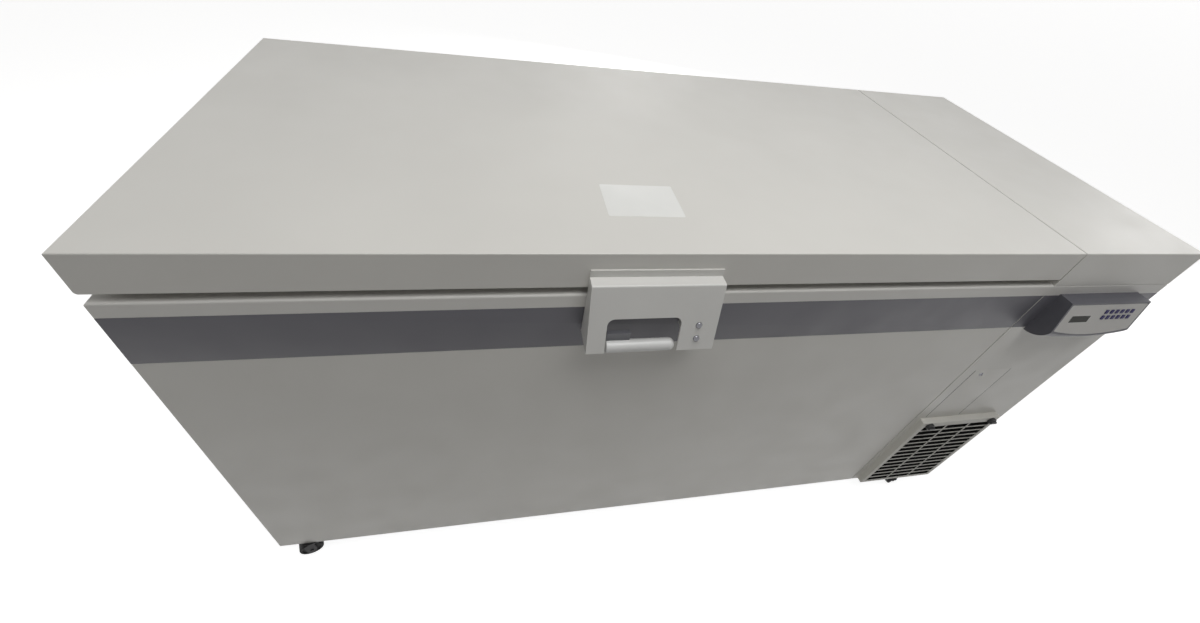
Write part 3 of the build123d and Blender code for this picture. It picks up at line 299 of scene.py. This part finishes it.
# Control housing: charcoal ABS with a spark texture that breaks up its highlights.
HOUSING_ABS = CellularFinish("textured_charcoal_abs", "#4E4E54", roughness=0.50, relief_mm=0.03, grain_mm=1.2,
                             cloud=0.02, flake=0.04)
# Fascia: smooth pale grey polyester film.
FASCIA_FILM = Finish("polyester_fascia_film", "#C6C4C0", roughness=0.42, relief_mm=0.004, grain_mm=1.0, cloud=0.01,
                     ior=1.4)
# Display: dark, nearly black liquid crystal cell under an anti-glare window.
DISPLAY_CELL = Finish("anti_glare_acrylic_window", "#1C1D17", roughness=0.42, relief_mm=0.002, grain_mm=4.0,
                      cloud=0.08, cloud_mm=12.0, smudge=0.03, ior=1.2)
# Keys: matt silicone, dark violet blue.
KEY_SILICONE = Finish("moulded_silicone_key", "#2B2654", roughness=0.60, relief_mm=0.006, grain_mm=0.6, cloud=0.03,
                      cloud_mm=8.0, ior=1.35)
# Grille: pale ABS in the cabinet's colour with a coarse spark texture.
GRILLE_ABS = CellularFinish("textured_pale_abs", "#CFCDC6", roughness=0.52, relief_mm=0.03, grain_mm=1.3, cloud=0.02,
                            flake=0.03)
# Filter: black woven mesh; the threads are drawn 2.5 mm apart, coarser than real, so that they show.
FILTER_MESH = WovenMesh("woven_filter_mesh", "#0E0E0E", roughness=0.90, relief_mm=0.25, grain_mm=2.5, ior=1.05)
# Knobs, gland and rocker: black moulded nylon.
BLACK_NYLON = CellularFinish("moulded_black_nylon", "#1E1E1F", roughness=0.48, relief_mm=0.02, grain_mm=0.9,
                             cloud=0.02, flake=0.06)
# Gasket: dark grey extruded PVC, matt and slightly dusty.
GASKET_PVC = Finish("extruded_pvc_gasket", "#343233", roughness=0.62, relief_mm=0.02, grain_mm=1.5, cloud=0.10,
                    cloud_mm=60.0)
# Wheels: black polyurethane tread with dull scuffs.
WHEEL_TREAD = Finish("polyurethane_tread", "#1C1C1C", roughness=0.64, relief_mm=0.03, grain_mm=1.2, cloud=0.15,
                     cloud_mm=18.0, smudge=0.10, smudge_mm=14.0, ior=1.3)
# Forks: black satin enamel over pressed steel.
FORK_ENAMEL = Finish("enamelled_pressed_steel", "#1A1A1B", roughness=0.50, relief_mm=0.01, grain_mm=1.5, cloud=0.04,
                     cloud_mm=40.0, ior=1.3)
# Compressor cans and motor: black enamel with a thick, wavy skin.
CAN_ENAMEL = Finish("thick_black_enamel", "#1B1B1D", roughness=0.30, relief_mm=0.05, grain_mm=6.0, cloud=0.05)
# Liner: brushed stainless sheet, scratches run along the chamber.
LINER_STEEL = BrushedMetal("brushed_stainless_liner", "#B9B9B8", roughness=0.36, relief_mm=0.004, grain_mm=0.8,
                           metallic=1.0, smudge=0.02, smudge_mm=220.0)
# Base and bulkhead: galvanised sheet with visible zinc crystals about 9 mm across.
ZINC_SHEET = CellularFinish("galvanised_sheet", "#A3A6A8", roughness=0.40, relief_mm=0.004, grain_mm=9.0,
                            metallic=1.0, flake=0.10)
# Hinges: zinc plated steel, brushed up and down.
HINGE_ZINC = BrushedMetal("zinc_plated_hinge_steel", "#B4B4B2", roughness=0.34, relief_mm=0.006, grain_mm=0.7,
                          metallic=1.0, grain=Grain.ALONG_Z)
# Grip bar: bead blasted aluminium in a satin coat, pale and soft; the guard above it is the same metal with painted
# shade.
BAR_THICKNESS = 23 * MM
GUARD_CLEARANCE = 0.5 * MM
GUARD_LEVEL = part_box("latch_lever")[0].z + BAR_THICKNESS + GUARD_CLEARANCE
BAR_SATIN = GuardedBar("satin_coated_aluminium_bar", "#D6D6D4", roughness=0.34, relief_mm=0.01, grain_mm=0.9,
                       cloud=0.02, cloud_mm=50.0, guard_level=GUARD_LEVEL)
# Screws: chrome plated; the grey base colour is a painted reflection, darker than bright chrome, standing in for dark
# surroundings in the mirror.
SCREW_CHROME = BrushedMetal("chrome_plated_screw", "#77777B", roughness=0.12, relief_mm=0.001, grain_mm=0.5,
                            metallic=1.0, smudge=0.03, smudge_mm=4.0)
# Condenser and fan: bare rolled aluminium.
FIN_ALUMINIUM = BrushedMetal("rolled_aluminium_fin", "#C9CBCC", roughness=0.36, relief_mm=0.01, grain_mm=0.9,
                             metallic=1.0, grain=Grain.ALONG_Z)
# Evaporator: drawn copper, darkened in patches.
TUBE_COPPER = Finish("drawn_copper_tube", "#B87350", roughness=0.32, relief_mm=0.008, grain_mm=1.2, cloud=0.18,
                     cloud_mm=50.0, metallic=1.0)
# Insulation: cut polyurethane foam with fine cells.
CUT_FOAM = CellularFinish("cut_polyurethane_foam", "#E3D6AE", roughness=0.85, relief_mm=0.5, grain_mm=1.6, cloud=0.05,
                          flake=0.05)
# Lid liner: vacuum formed white polystyrene, softly glossy.
LID_STYRENE = Finish("vacuum_formed_polystyrene", "#E6E6E4", roughness=0.32, relief_mm=0.008, grain_mm=14.0,
                     cloud=0.01, smudge=0.02)
# Gap around the access plate: the dark of the compartment behind it.
GAP_SHADE = Finish("shaded_panel_gap", "#3A3836", roughness=0.80, relief_mm=0.01, grain_mm=2.0, ior=1.3)
# Notice place on the lid: blank white polyester label.
NOTICE_FILM = Finish("blank_polyester_label", "#E8E8E4", roughness=0.45, relief_mm=0.004, grain_mm=1.0, cloud=0.01,
                     cloud_mm=40.0)

FINISHES: dict[Finish, tuple[str, ...]] = {
    BODY_COAT: ("front_panel", "left_panel", "rear_panel", "machine_front_panel", "machine_side_panel",
                "machine_rear_panel", "machine_top_cover", "lid_pan"),
    LATCH_COAT: ("latch_cover", "latch_base"),
    RIM_ABS: ("rim_frame",),
    HOUSING_ABS: ("control_housing",),
    FASCIA_FILM: ("control_fascia",),
    DISPLAY_CELL: ("display_window",),
    KEY_SILICONE: tuple(f"key_{row}_{column}" for row in (1, 2) for column in range(1, 7)),
    GRILLE_ABS: ("intake_grille",),
    FILTER_MESH: ("air_filter",),
    BLACK_NYLON: ("grille_knob_left", "grille_knob_right", "power_entry", "power_switch"),
    GASKET_PVC: ("lid_gasket",),
    WHEEL_TREAD: ("front_left_wheel", "front_right_wheel", "rear_left_wheel", "rear_right_wheel"),
    FORK_ENAMEL: ("front_left_fork", "front_right_fork", "rear_left_fork", "rear_right_fork"),
    CAN_ENAMEL: ("compressors", "fan_motor"),
    LINER_STEEL: ("liner",),
    ZINC_SHEET: ("base_pan", "bulkhead_panel"),
    HINGE_ZINC: ("hinge_bases", "hinge_leaves", "hinge_pins", "latch_pawl", "latch_keeper"),
    BAR_SATIN: ("latch_lever",),
    SCREW_CHROME: ("latch_screws",),
    FIN_ALUMINIUM: ("condenser", "fan"),
    TUBE_COPPER: ("evaporator_coil",),
    CUT_FOAM: ("insulation", "lid_insulation", "heat_exchanger"),
    LID_STYRENE: ("lid_inner_panel",),
}


class Wardrobe:
    """Builds each finish once and hands it out."""

    def __init__(self) -> None:
        """Starts with no material built."""
        self.built: dict[str, bpy.types.Material] = {}

    def material(self, finish: Finish) -> bpy.types.Material:
        """Gives a finish's material.

        Args:
            finish: The finish that is wanted.

        Returns:
            Its material, built at the first call.
        """
        if finish.name not in self.built:
            self.built[finish.name] = finish.build()
        return self.built[finish.name]

    def dress_solids(self) -> None:
        """Gives every solid of the frame its finish."""
        for finish, names in FINISHES.items():
            for name in names:
                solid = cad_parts[name]
                if not solid.material_slots:
                    solid.data.materials.append(self.material(finish))
                for material_slot in solid.material_slots:
                    material_slot.material = self.material(finish)
            LOG.info("%s on %d solids", finish.name, len(names))


def rounded_loop(width: float, height: float, radius: float, steps: int = 6) -> np.ndarray:
    """Gives a rounded rectangle as a closed loop, counter-clockwise about the origin.

    Each corner is a quarter circle about (+-(width/2 - radius), +-(height/2 - radius)).

    Args:
        width: Full width.
        height: Full height.
        radius: Corner radius.
        steps: Segments in a corner.

    Returns:
        Array of shape (4 * (steps + 1), 2).
    """
    angle = np.linspace(0.0, np.pi / 2, steps + 1)[None, :] + np.arange(4)[:, None] * np.pi / 2
    across = np.array([1, -1, -1, 1])[:, None] * (width / 2 - radius)
    up = np.array([1, 1, -1, -1])[:, None] * (height / 2 - radius)
    return np.stack([across + radius * np.cos(angle), up + radius * np.sin(angle)], -1).reshape(-1, 2)


def plate_rings(width: float, height: float, radius: float, profile: Sequence[tuple[float, float]]) -> np.ndarray:
    """Carries an edge profile around a rounded rectangle.

    Ring k is the rectangle drawn in by the profile's inset k, lifted to its level k.

    Args:
        width: Full width of the plate.
        height: Full height of the plate.
        radius: Corner radius of the plate.
        profile: Pairs of inset and level, from the back edge to the front face.

    Returns:
        Array of shape (rings, points, 3).
    """
    least_radius = 0.2 * radius
    rings = []
    for inset, level in profile:
        loop = rounded_loop(width - 2 * inset, height - 2 * inset, max(radius - inset, least_radius))
        rings.append(np.concatenate([loop, np.full((len(loop), 1), level)], 1))
    return np.stack(rings)


def revolved_rings(profile: np.ndarray, steps: int = 24) -> np.ndarray:
    """Turns a profile about the local third axis: ring k is radius_k * (cos a, sin a) at level_k.

    Args:
        profile: Array of radius and level pairs.
        steps: Points around the axis.

    Returns:
        Array of shape (rings, steps, 3).
    """
    angle = np.arange(steps) * 2 * np.pi / steps
    circle = np.stack([np.cos(angle), np.sin(angle)], -1)
    flat = profile[:, None, :1] * circle[None]
    level = np.broadcast_to(profile[:, None, 1:], (len(profile), steps, 1))
    return np.concatenate([flat, level], -1)


@dataclass(frozen=True)
class Shell:
    """A closed surface: its vertices, the quads of its sides and its two end caps."""

    vertices: np.ndarray
    quads: np.ndarray
    caps: np.ndarray

    def faces(self, start: int) -> list[list[int]]:
        """Gives all faces, with their vertices counted from a start."""
        return (self.quads + start).tolist() + (self.caps + start).tolist()


def lofted(rings: np.ndarray) -> Shell:
    """Joins rings of equal length with quads and closes the first and the last one.

    Args:
        rings: Array of shape (rings, points, 3), counter-clockwise seen from the last ring's side.

    Returns:
        The closed shell.
    """
    count, points = rings.shape[:2]
    around = np.arange(points)
    first = np.arange(count - 1)[:, None] * points
    here, after = first + around, first + np.roll(around, -1)
    quads = np.stack([here, after, after + points, here + points], -1).reshape(-1, 4)
    caps = np.stack([around[::-1], around + (count - 1) * points])
    return Shell(rings.reshape(-1, 3), quads, caps)


@dataclass(frozen=True)
class Seat:
    """A place on the freezer: a point and the three directions of a local frame, the third one outwards."""

    point: tuple[float, float, float]
    across: tuple[float, float, float]
    up: tuple[float, float, float]
    out: tuple[float, float, float]

    def place(self, shell: Shell) -> Shell:
        """Carries a shell's points (a, b, c) onto the freezer: point + a * across + b * up + c * out."""
        axes = np.array([self.across, self.up, self.out])
        return replace(shell, vertices=np.array(self.point) + shell.vertices @ axes)


def front_seat(x: float, y: float, z: float) -> Seat:
    """Gives a seat on a face that looks to the front."""
    return Seat((x, y, z), (1, 0, 0), (0, 0, 1), (0, -1, 0))


def rear_seat(x: float, y: float, z: float) -> Seat:
    """Gives a seat on a face that looks to the back."""
    return Seat((x, y, z), (-1, 0, 0), (0, 0, 1), (0, 1, 0))


def top_seat(x: float, y: float, z: float) -> Seat:
    """Gives a seat on a face that looks up."""
    return Seat((x, y, z), (1, 0, 0), (0, 1, 0), (0, 0, 1))


@dataclass
class Fitting:
    """Shared work of the small pieces: making a mesh object, dressing it and fixing it to a body."""

    wardrobe: Wardrobe

    def add(self, name: str, shells: Sequence[Shell], finish: Finish, body: str, slot: str) -> bpy.types.Object:
        """Makes one piece from closed shells.

        Args:
            name: Name of the piece.
            shells: Its shells, in place.
            finish: Its finish.
            body: Body that carries it.
            slot: Material slot of the record that it belongs to; not used.

        Returns:
            The new object.
        """
        starts = np.cumsum([0] + [len(shell.vertices) for shell in shells]).tolist()
        faces = [face for shell, start in zip(shells, starts) for face in shell.faces(start)]
        mesh = bpy.data.meshes.new(name)
        mesh.from_pydata(np.concatenate([shell.vertices for shell in shells]).tolist(), [], faces)
        mesh.shade_smooth()
        mesh.set_sharp_from_angle(angle=SHARP_ANGLE)
        mesh.materials.append(self.wardrobe.material(finish))
        piece = bpy.data.objects.new(name, mesh)
        bpy.context.scene.collection.objects.link(piece)
        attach(piece, body)
        LOG.info("%s on %s, %d faces", name, body, len(faces))
        return piece

    def plate(self, seat: Seat, width: float, height: float, radius: float, thickness: float, edge: float) -> Shell:
        """Makes a thin plate with a softened front edge.

        The edge is a quarter circle, inset = edge * (1 - cos a), level = thickness - edge * (1 - sin a).

        Args:
            seat: Middle of its back face.
            width: Across.
            height: Up.
            radius: Corner radius.
            thickness: Along the seat's outward direction.
            edge: Width of the softened edge.

        Returns:
            The shell, in place.
        """
        turn = np.linspace(0.0, np.pi / 2, 4)
        profile = [(0.0, 0.0)] + [(edge * (1 - np.cos(a)), thickness - edge * (1 - np.sin(a))) for a in turn]
        return seat.place(lofted(plate_rings(width, height, radius, profile)))

    def dome_screw(self, seat: Seat, radius: float, rise: float) -> Shell:
        """Makes a dome head with a small round well in its crown.

        The head is an elliptic arc from the rim to the well, level = rise * sqrt(1 - (r / R)^2), then drops.

        Args:
            seat: Middle of its seat.
            radius: Radius of the head.
            rise: Height of the head.

        Returns:
            The shell, in place.
        """
        mouth, neck, bottom = 0.36 * radius, 0.33 * radius, 0.30 * radius
        lip_drop, bottom_level, rim_lift = 0.05 * rise, 0.45 * rise, 0.0001
        share = np.linspace(1.0, mouth / radius, 9)
        dome = np.stack([radius * share, rise * np.sqrt(1.0 + rim_lift - share ** 2)], -1)
        well = np.array([(neck, dome[-1, 1] - lip_drop), (bottom, bottom_level)])
        return seat.place(lofted(revolved_rings(np.concatenate([[(radius, 0.0)], dome, well]))))


@dataclass
class FrontBand(Fitting):
    """Charcoal film along the front, directly under the rim frame, in one strip per front panel."""

    height: float = 101 * MM
    film: float = 0.4 * MM
    corner: float = 0.5 * MM

    def build(self) -> None:
        """Lays one strip on the cold cabinet and one on the machine compartment."""
        for panel, name in (("front_panel", "front_band_cold"), ("machine_front_panel", "front_band_machine")):
            low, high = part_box(panel)
            seat = front_seat((low.x + high.x) / 2, low.y, high.z - self.height / 2)
            strip = self.plate(seat, high.x - low.x, self.height, self.corner, self.film, self.film / 2)
            self.add(name, [strip], BAND_VINYL, "cabinet", "charcoal_plastic")


@dataclass
class NoticePlace(Fitting):
    """Blank label on the lid's top, above the latch."""

    left: float = 736 * MM
    width: float = 141 * MM
    setback: float = 102 * MM
    depth: float = 102 * MM
    corner: float = 3 * MM
    film: float = 0.3 * MM

    def build(self) -> None:
        """Lays the label."""
        low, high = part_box("lid_pan")
        seat = top_seat(low.x + self.left + self.width / 2, low.y + self.setback + self.depth / 2, high.z)
        label = self.plate(seat, self.width, self.depth, self.corner, self.film, self.film / 2)
        self.add("notice_label", [label], NOTICE_FILM, "lid", "lid_liner")


@dataclass
class AccessPlate(Fitting):
    """Flush access plate in the machine compartment's front, held by one dome screw near its top left corner.

    A dark strip behind the plate, a little wider than it, draws the gaps along its two sides.
    """

    left: float = 35 * MM
    width: float = 113 * MM
    drop: float = 381 * MM
    grille_gap: float = 3 * MM
    corner: float = 3 * MM
    sheet: float = 0.2 * MM
    sheet_edge: float = 0.16 * MM
    gap: float = 1.6 * MM
    gap_sheet: float = 0.1 * MM
    screw_inset: float = 30 * MM
    screw_drop: float = 19 * MM
    screw_radius: float = 5.5 * MM
    screw_rise: float = 3.4 * MM

    def build(self) -> None:
        """Lays the plate between its top line and the grille, and its screw on it."""
        low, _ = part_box("machine_front_panel")
        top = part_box("lid_pan")[1].z - self.drop
        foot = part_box("intake_grille")[1].z + self.grille_gap
        middle = low.x + self.left + self.width / 2
        seat = front_seat(middle, low.y, (top + foot) / 2)
        plate = self.plate(seat, self.width, top - foot, self.corner, self.sheet, self.sheet_edge)
        self.add("access_plate", [plate], BODY_COAT, "cabinet", "body_paint")
        strip = self.plate(seat, self.width + 2 * self.gap, top - foot - 2 * self.gap, self.corner, self.gap_sheet,
                           self.gap_sheet / 2)
        self.add("access_plate_gap", [strip], GAP_SHADE, "cabinet", "charcoal_plastic")
        screw_seat = front_seat(low.x + self.left + self.screw_inset, low.y - self.sheet, top - self.screw_drop)
        screw = self.dome_screw(screw_seat, self.screw_radius, self.screw_rise)
        self.add("access_plate_screw", [screw], SCREW_CHROME, "cabinet", "screw_chrome")


@dataclass
class HingeScrews(Fitting):
    """Dome screws in the hinge leaves: two columns of two in each leaf."""

    across: float = 34 * MM
    base_lifts: tuple[float, float] = (14 * MM, 46 * MM)
    leaf_lifts: tuple[float, float] = (24 * MM, 58 * MM)
    leaf_sheet: float = 4 * MM
    longest_pin: float = 200 * MM
    radius: float = 5 * MM
    rise: float = 2.8 * MM

    def middles(self) -> list[float]:
        """Gives the X of each hinge's middle: the pins' points fall into groups with wide gaps between them."""
        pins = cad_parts["hinge_pins"].data.vertices
        points = np.empty(3 * len(pins), np.float32)
        pins.foreach_get("co", points)
        across = np.sort(points[::3].astype(float))
        groups = np.split(across, np.flatnonzero(np.diff(across) > self.longest_pin) + 1)
        return [(group[0] + group[-1]) / 2 for group in groups]

    def build(self) -> None:
        """Sets four screws in each base leaf and four in each lid leaf."""
        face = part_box("rear_panel")[1].y + self.leaf_sheet
        for node, body, lifts in (("hinge_bases", "cabinet", self.base_lifts),
                                  ("hinge_leaves", "lid", self.leaf_lifts)):
            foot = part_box(node)[0].z
            shells = [self.dome_screw(rear_seat(x + side, face, foot + lift), self.radius, self.rise)
                      for x, side, lift in product(self.middles(), (-self.across, self.across), lifts)]
            self.add(node + "_screws", shells, SCREW_CHROME, body, "screw_chrome")


@dataclass
class ServiceScrews(Fitting):
    """Dome screws along the upright edges of the machine compartment's rear panel, which comes off for service."""

    count: int = 5
    inset: float = 14 * MM
    radius: float = 4.5 * MM
    rise: float = 2.4 * MM

    def build(self) -> None:
        """Sets the screws in two columns."""
        low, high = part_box("machine_rear_panel")
        shells = []
        for x in (low.x + self.inset, high.x - self.inset):
            for z in np.linspace(low.z + 2 * self.inset, high.z - 2 * self.inset, self.count):
                shells.append(self.dome_screw(rear_seat(x, high.y, z), self.radius, self.rise))
        self.add("service_panel_screws", shells, SCREW_CHROME, "cabinet", "screw_chrome")


@dataclass
class LouvreHoods(Fitting):
    """Pressed hoods over the air slots in the machine compartment's rear panel, open at the bottom.

    Each hood is a quarter of an ellipse across, y = reach * sin(a), z = rise * cos(a), carried along X and pulled
    in at both ends by sqrt(1 - t^6), but never flatter than the square root of the end share.
    """

    count: int = 12
    pitch: float = 24 * MM
    drop: float = 90 * MM
    margin: float = 50 * MM
    rise: float = 13 * MM
    reach: float = 8 * MM
    sheet: float = 1.2 * MM
    overlap: float = 4 * MM
    slot_drop: float = 9 * MM
    end_share: float = 0.02

    def hood(self, seat: Seat, length: float) -> Shell:
        """Makes one hood as a closed shell.

        Args:
            seat: Middle of the lower edge of the slot, on the panel.
            length: Length of the hood.

        Returns:
            The shell, in place.
        """
        along = np.linspace(-1.0, 1.0, 25)
        pull = np.sqrt(np.maximum(1.0 - along ** 6, self.end_share))
        angle = np.linspace(0.0, np.pi / 2, 9)
        outer = np.stack([self.rise * np.cos(angle), self.reach * np.sin(angle)], -1)
        inner = np.stack([(self.rise - self.sheet) * np.cos(angle), (self.reach - self.sheet) * np.sin(angle)], -1)
        section = np.concatenate([outer, inner[::-1]])
        rings = np.empty((len(along), len(section), 3))
        rings[..., 0] = along[:, None] * length / 2
        rings[..., 1] = section[None, :, 0]
        rings[..., 2] = section[None, :, 1] * pull[:, None]
        return seat.place(lofted(rings))

    def build(self) -> None:
        """Sets all hoods."""
        low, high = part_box("machine_rear_panel")
        length = high.x - low.x - 2 * (self.margin - self.overlap)
        shells = []
        for row in range(self.count):
            z = high.z - self.drop - row * self.pitch - self.slot_drop
            shells.append(self.hood(rear_seat((low.x + high.x) / 2, high.y, z), length))
        self.add("rear_louvre_hoods", shells, BODY_COAT, "cabinet", "body_paint")


@dataclass(frozen=True)
class Softbox:
    """A round area lamp: where it hangs, what it looks at, its width in metres and its power in watts."""

    name: str
    point: tuple[float, float, float]
    target: tuple[float, float, float]
    size: float
    power: float

    def hang(self) -> None:
        """Puts the lamp into the scene."""
        lamp = bpy.data.lights.new(self.name, "AREA")
        lamp.shape = "DISK"
        lamp.size = self.size
        lamp.energy = self.power
        holder = bpy.data.objects.new(self.name, lamp)
        holder.location = self.point
        holder.rotation_euler = (Vector(self.target) - Vector(self.point)).to_track_quat("-Z", "Y").to_euler()
        bpy.context.scene.collection.objects.link(holder)


# One large soft lamp overhead and weaker ones in front, behind and at both ends.
SOFTBOXES = (
    Softbox("overhead_softbox", (0.0, -0.75, 3.2), (0.1, -0.1, 0.8), 2.0, 42.5),
    Softbox("front_softbox", (-2.2, -3.2, 1.8), (0.0, -0.4, 0.5), 2.0, 1.5),
    Softbox("rear_softbox", (0.8, 3.8, 0.9), (0.0, 0.4, 0.5), 1.6, 24.0),
    Softbox("left_softbox", (-3.8, 0.3, 1.4), (-1.0, 0.0, 0.5), 2.0, 16.0),
    Softbox("right_softbox", (3.8, 0.3, 1.4), (1.0, 0.0, 0.5), 2.0, 16.0),
)


@dataclass
class Studio:
    """Pale floor and world, the lamps and the camera."""

    camera_point: tuple[float, float, float] = (-0.4820, -0.9656, 1.4914)
    camera_right: tuple[float, float, float] = (0.97555, -0.16991, 0.13941)
    camera_up: tuple[float, float, float] = (0.01463, 0.68313, 0.73015)
    camera_back: tuple[float, float, float] = (-0.21930, -0.71026, 0.66891)
    sensor_mm: float = 36.0
    lens_mm: float = 14.478
    shift: tuple[float, float] = (0.0002, -0.0206)
    floor_reach: float = 60.0
    paper_colour: str = "#B4B3B1"
    paper_roughness: float = 0.9
    paper_glow: float = 0.86
    sky_colour: str = "#FCFCFC"
    sky_fill: float = 0.11

    def build(self) -> None:
        """Sets up the whole studio."""
        self.floor()
        self.world()
        for softbox in SOFTBOXES:
            softbox.hang()
        self.camera()
        bpy.context.scene.view_settings.view_transform = "Standard"

    def floor(self) -> None:
        """Lays a wide pale floor that keeps the freezer's shadow."""
        side = self.floor_reach
        mesh = bpy.data.meshes.new("studio_floor")
        mesh.from_pydata([(-side, -side, 0), (side, -side, 0), (side, side, 0), (-side, side, 0)], [], [(0, 1, 2, 3)])
        paper = bpy.data.materials.new("pale_backdrop_paper")
        paper.use_nodes = True
        tree = paper.node_tree
        shader = tree.nodes["Principled BSDF"]
        shader.inputs["Base Color"].default_value = linear(self.paper_colour)
        shader.inputs["Roughness"].default_value = self.paper_roughness
        shader.inputs["Emission Color"].default_value = linear("#FFFFFF")
        tree.links.new(self.seen(tree, self.paper_glow), shader.inputs["Emission Strength"])
        mesh.materials.append(paper)
        floor = bpy.data.objects.new("studio_floor", mesh)
        bpy.context.scene.collection.objects.link(floor)

    def world(self) -> None:
        """Sets a pale world that fills the shadows a little."""
        world = bpy.data.worlds.new("studio_world")
        world.use_nodes = True
        sky = world.node_tree.nodes["Background"]
        sky.inputs["Color"].default_value = linear(self.sky_colour)
        glow = add_node(world.node_tree, "Math", {1: self.sky_fill},
                        {0: self.seen(world.node_tree, 1.0 - self.sky_fill)}, operation="ADD")
        world.node_tree.links.new(glow.outputs["Value"], sky.inputs["Strength"])
        bpy.context.scene.world = world

    def seen(self, tree: bpy.types.NodeTree, strength: float) -> bpy.types.NodeSocket:
        """Gives a strength to camera, glossy and transmitted rays, and none to the rays that light the freezer.

        Args:
            tree: Node tree of the floor's paper or of the world.
            strength: Value for the rays that see the background.

        Returns:
            Output with the strength.
        """
        path = add_node(tree, "LightPath")
        shiny = add_node(tree, "Math", links={0: path.outputs["Is Glossy Ray"],
                                              1: path.outputs["Is Transmission Ray"]}, operation="MAXIMUM")
        straight = add_node(tree, "Math", links={0: path.outputs["Is Camera Ray"], 1: shiny.outputs["Value"]},
                            operation="MAXIMUM")
        return add_node(tree, "Math", {1: strength}, {0: straight.outputs["Value"]},
                        operation="MULTIPLY").outputs["Value"]

    def camera(self) -> None:
        """Sets the camera where the photograph was taken."""
        lens = bpy.data.cameras.new("photo_camera")
        lens.sensor_width = self.sensor_mm
        lens.lens = self.lens_mm
        lens.shift_x, lens.shift_y = self.shift
        holder = bpy.data.objects.new("photo_camera", lens)
        axes = Matrix((self.camera_right, self.camera_up, self.camera_back)).transposed()
        holder.matrix_world = Matrix.Translation(self.camera_point) @ axes.to_4x4()
        bpy.context.scene.collection.objects.link(holder)
        bpy.context.scene.camera = holder


def main() -> None:
    """Dresses the solids, adds the fittings and sets up the studio."""
    logging.basicConfig(level=logging.INFO, format="%(message)s")
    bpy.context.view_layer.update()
    wardrobe = Wardrobe()
    wardrobe.dress_solids()
    for fitting in (FrontBand, NoticePlace, AccessPlate, HingeScrews, ServiceScrews, LouvreHoods):
        fitting(wardrobe).build()
    Studio().build()


if __name__ == "__main__":
    main()
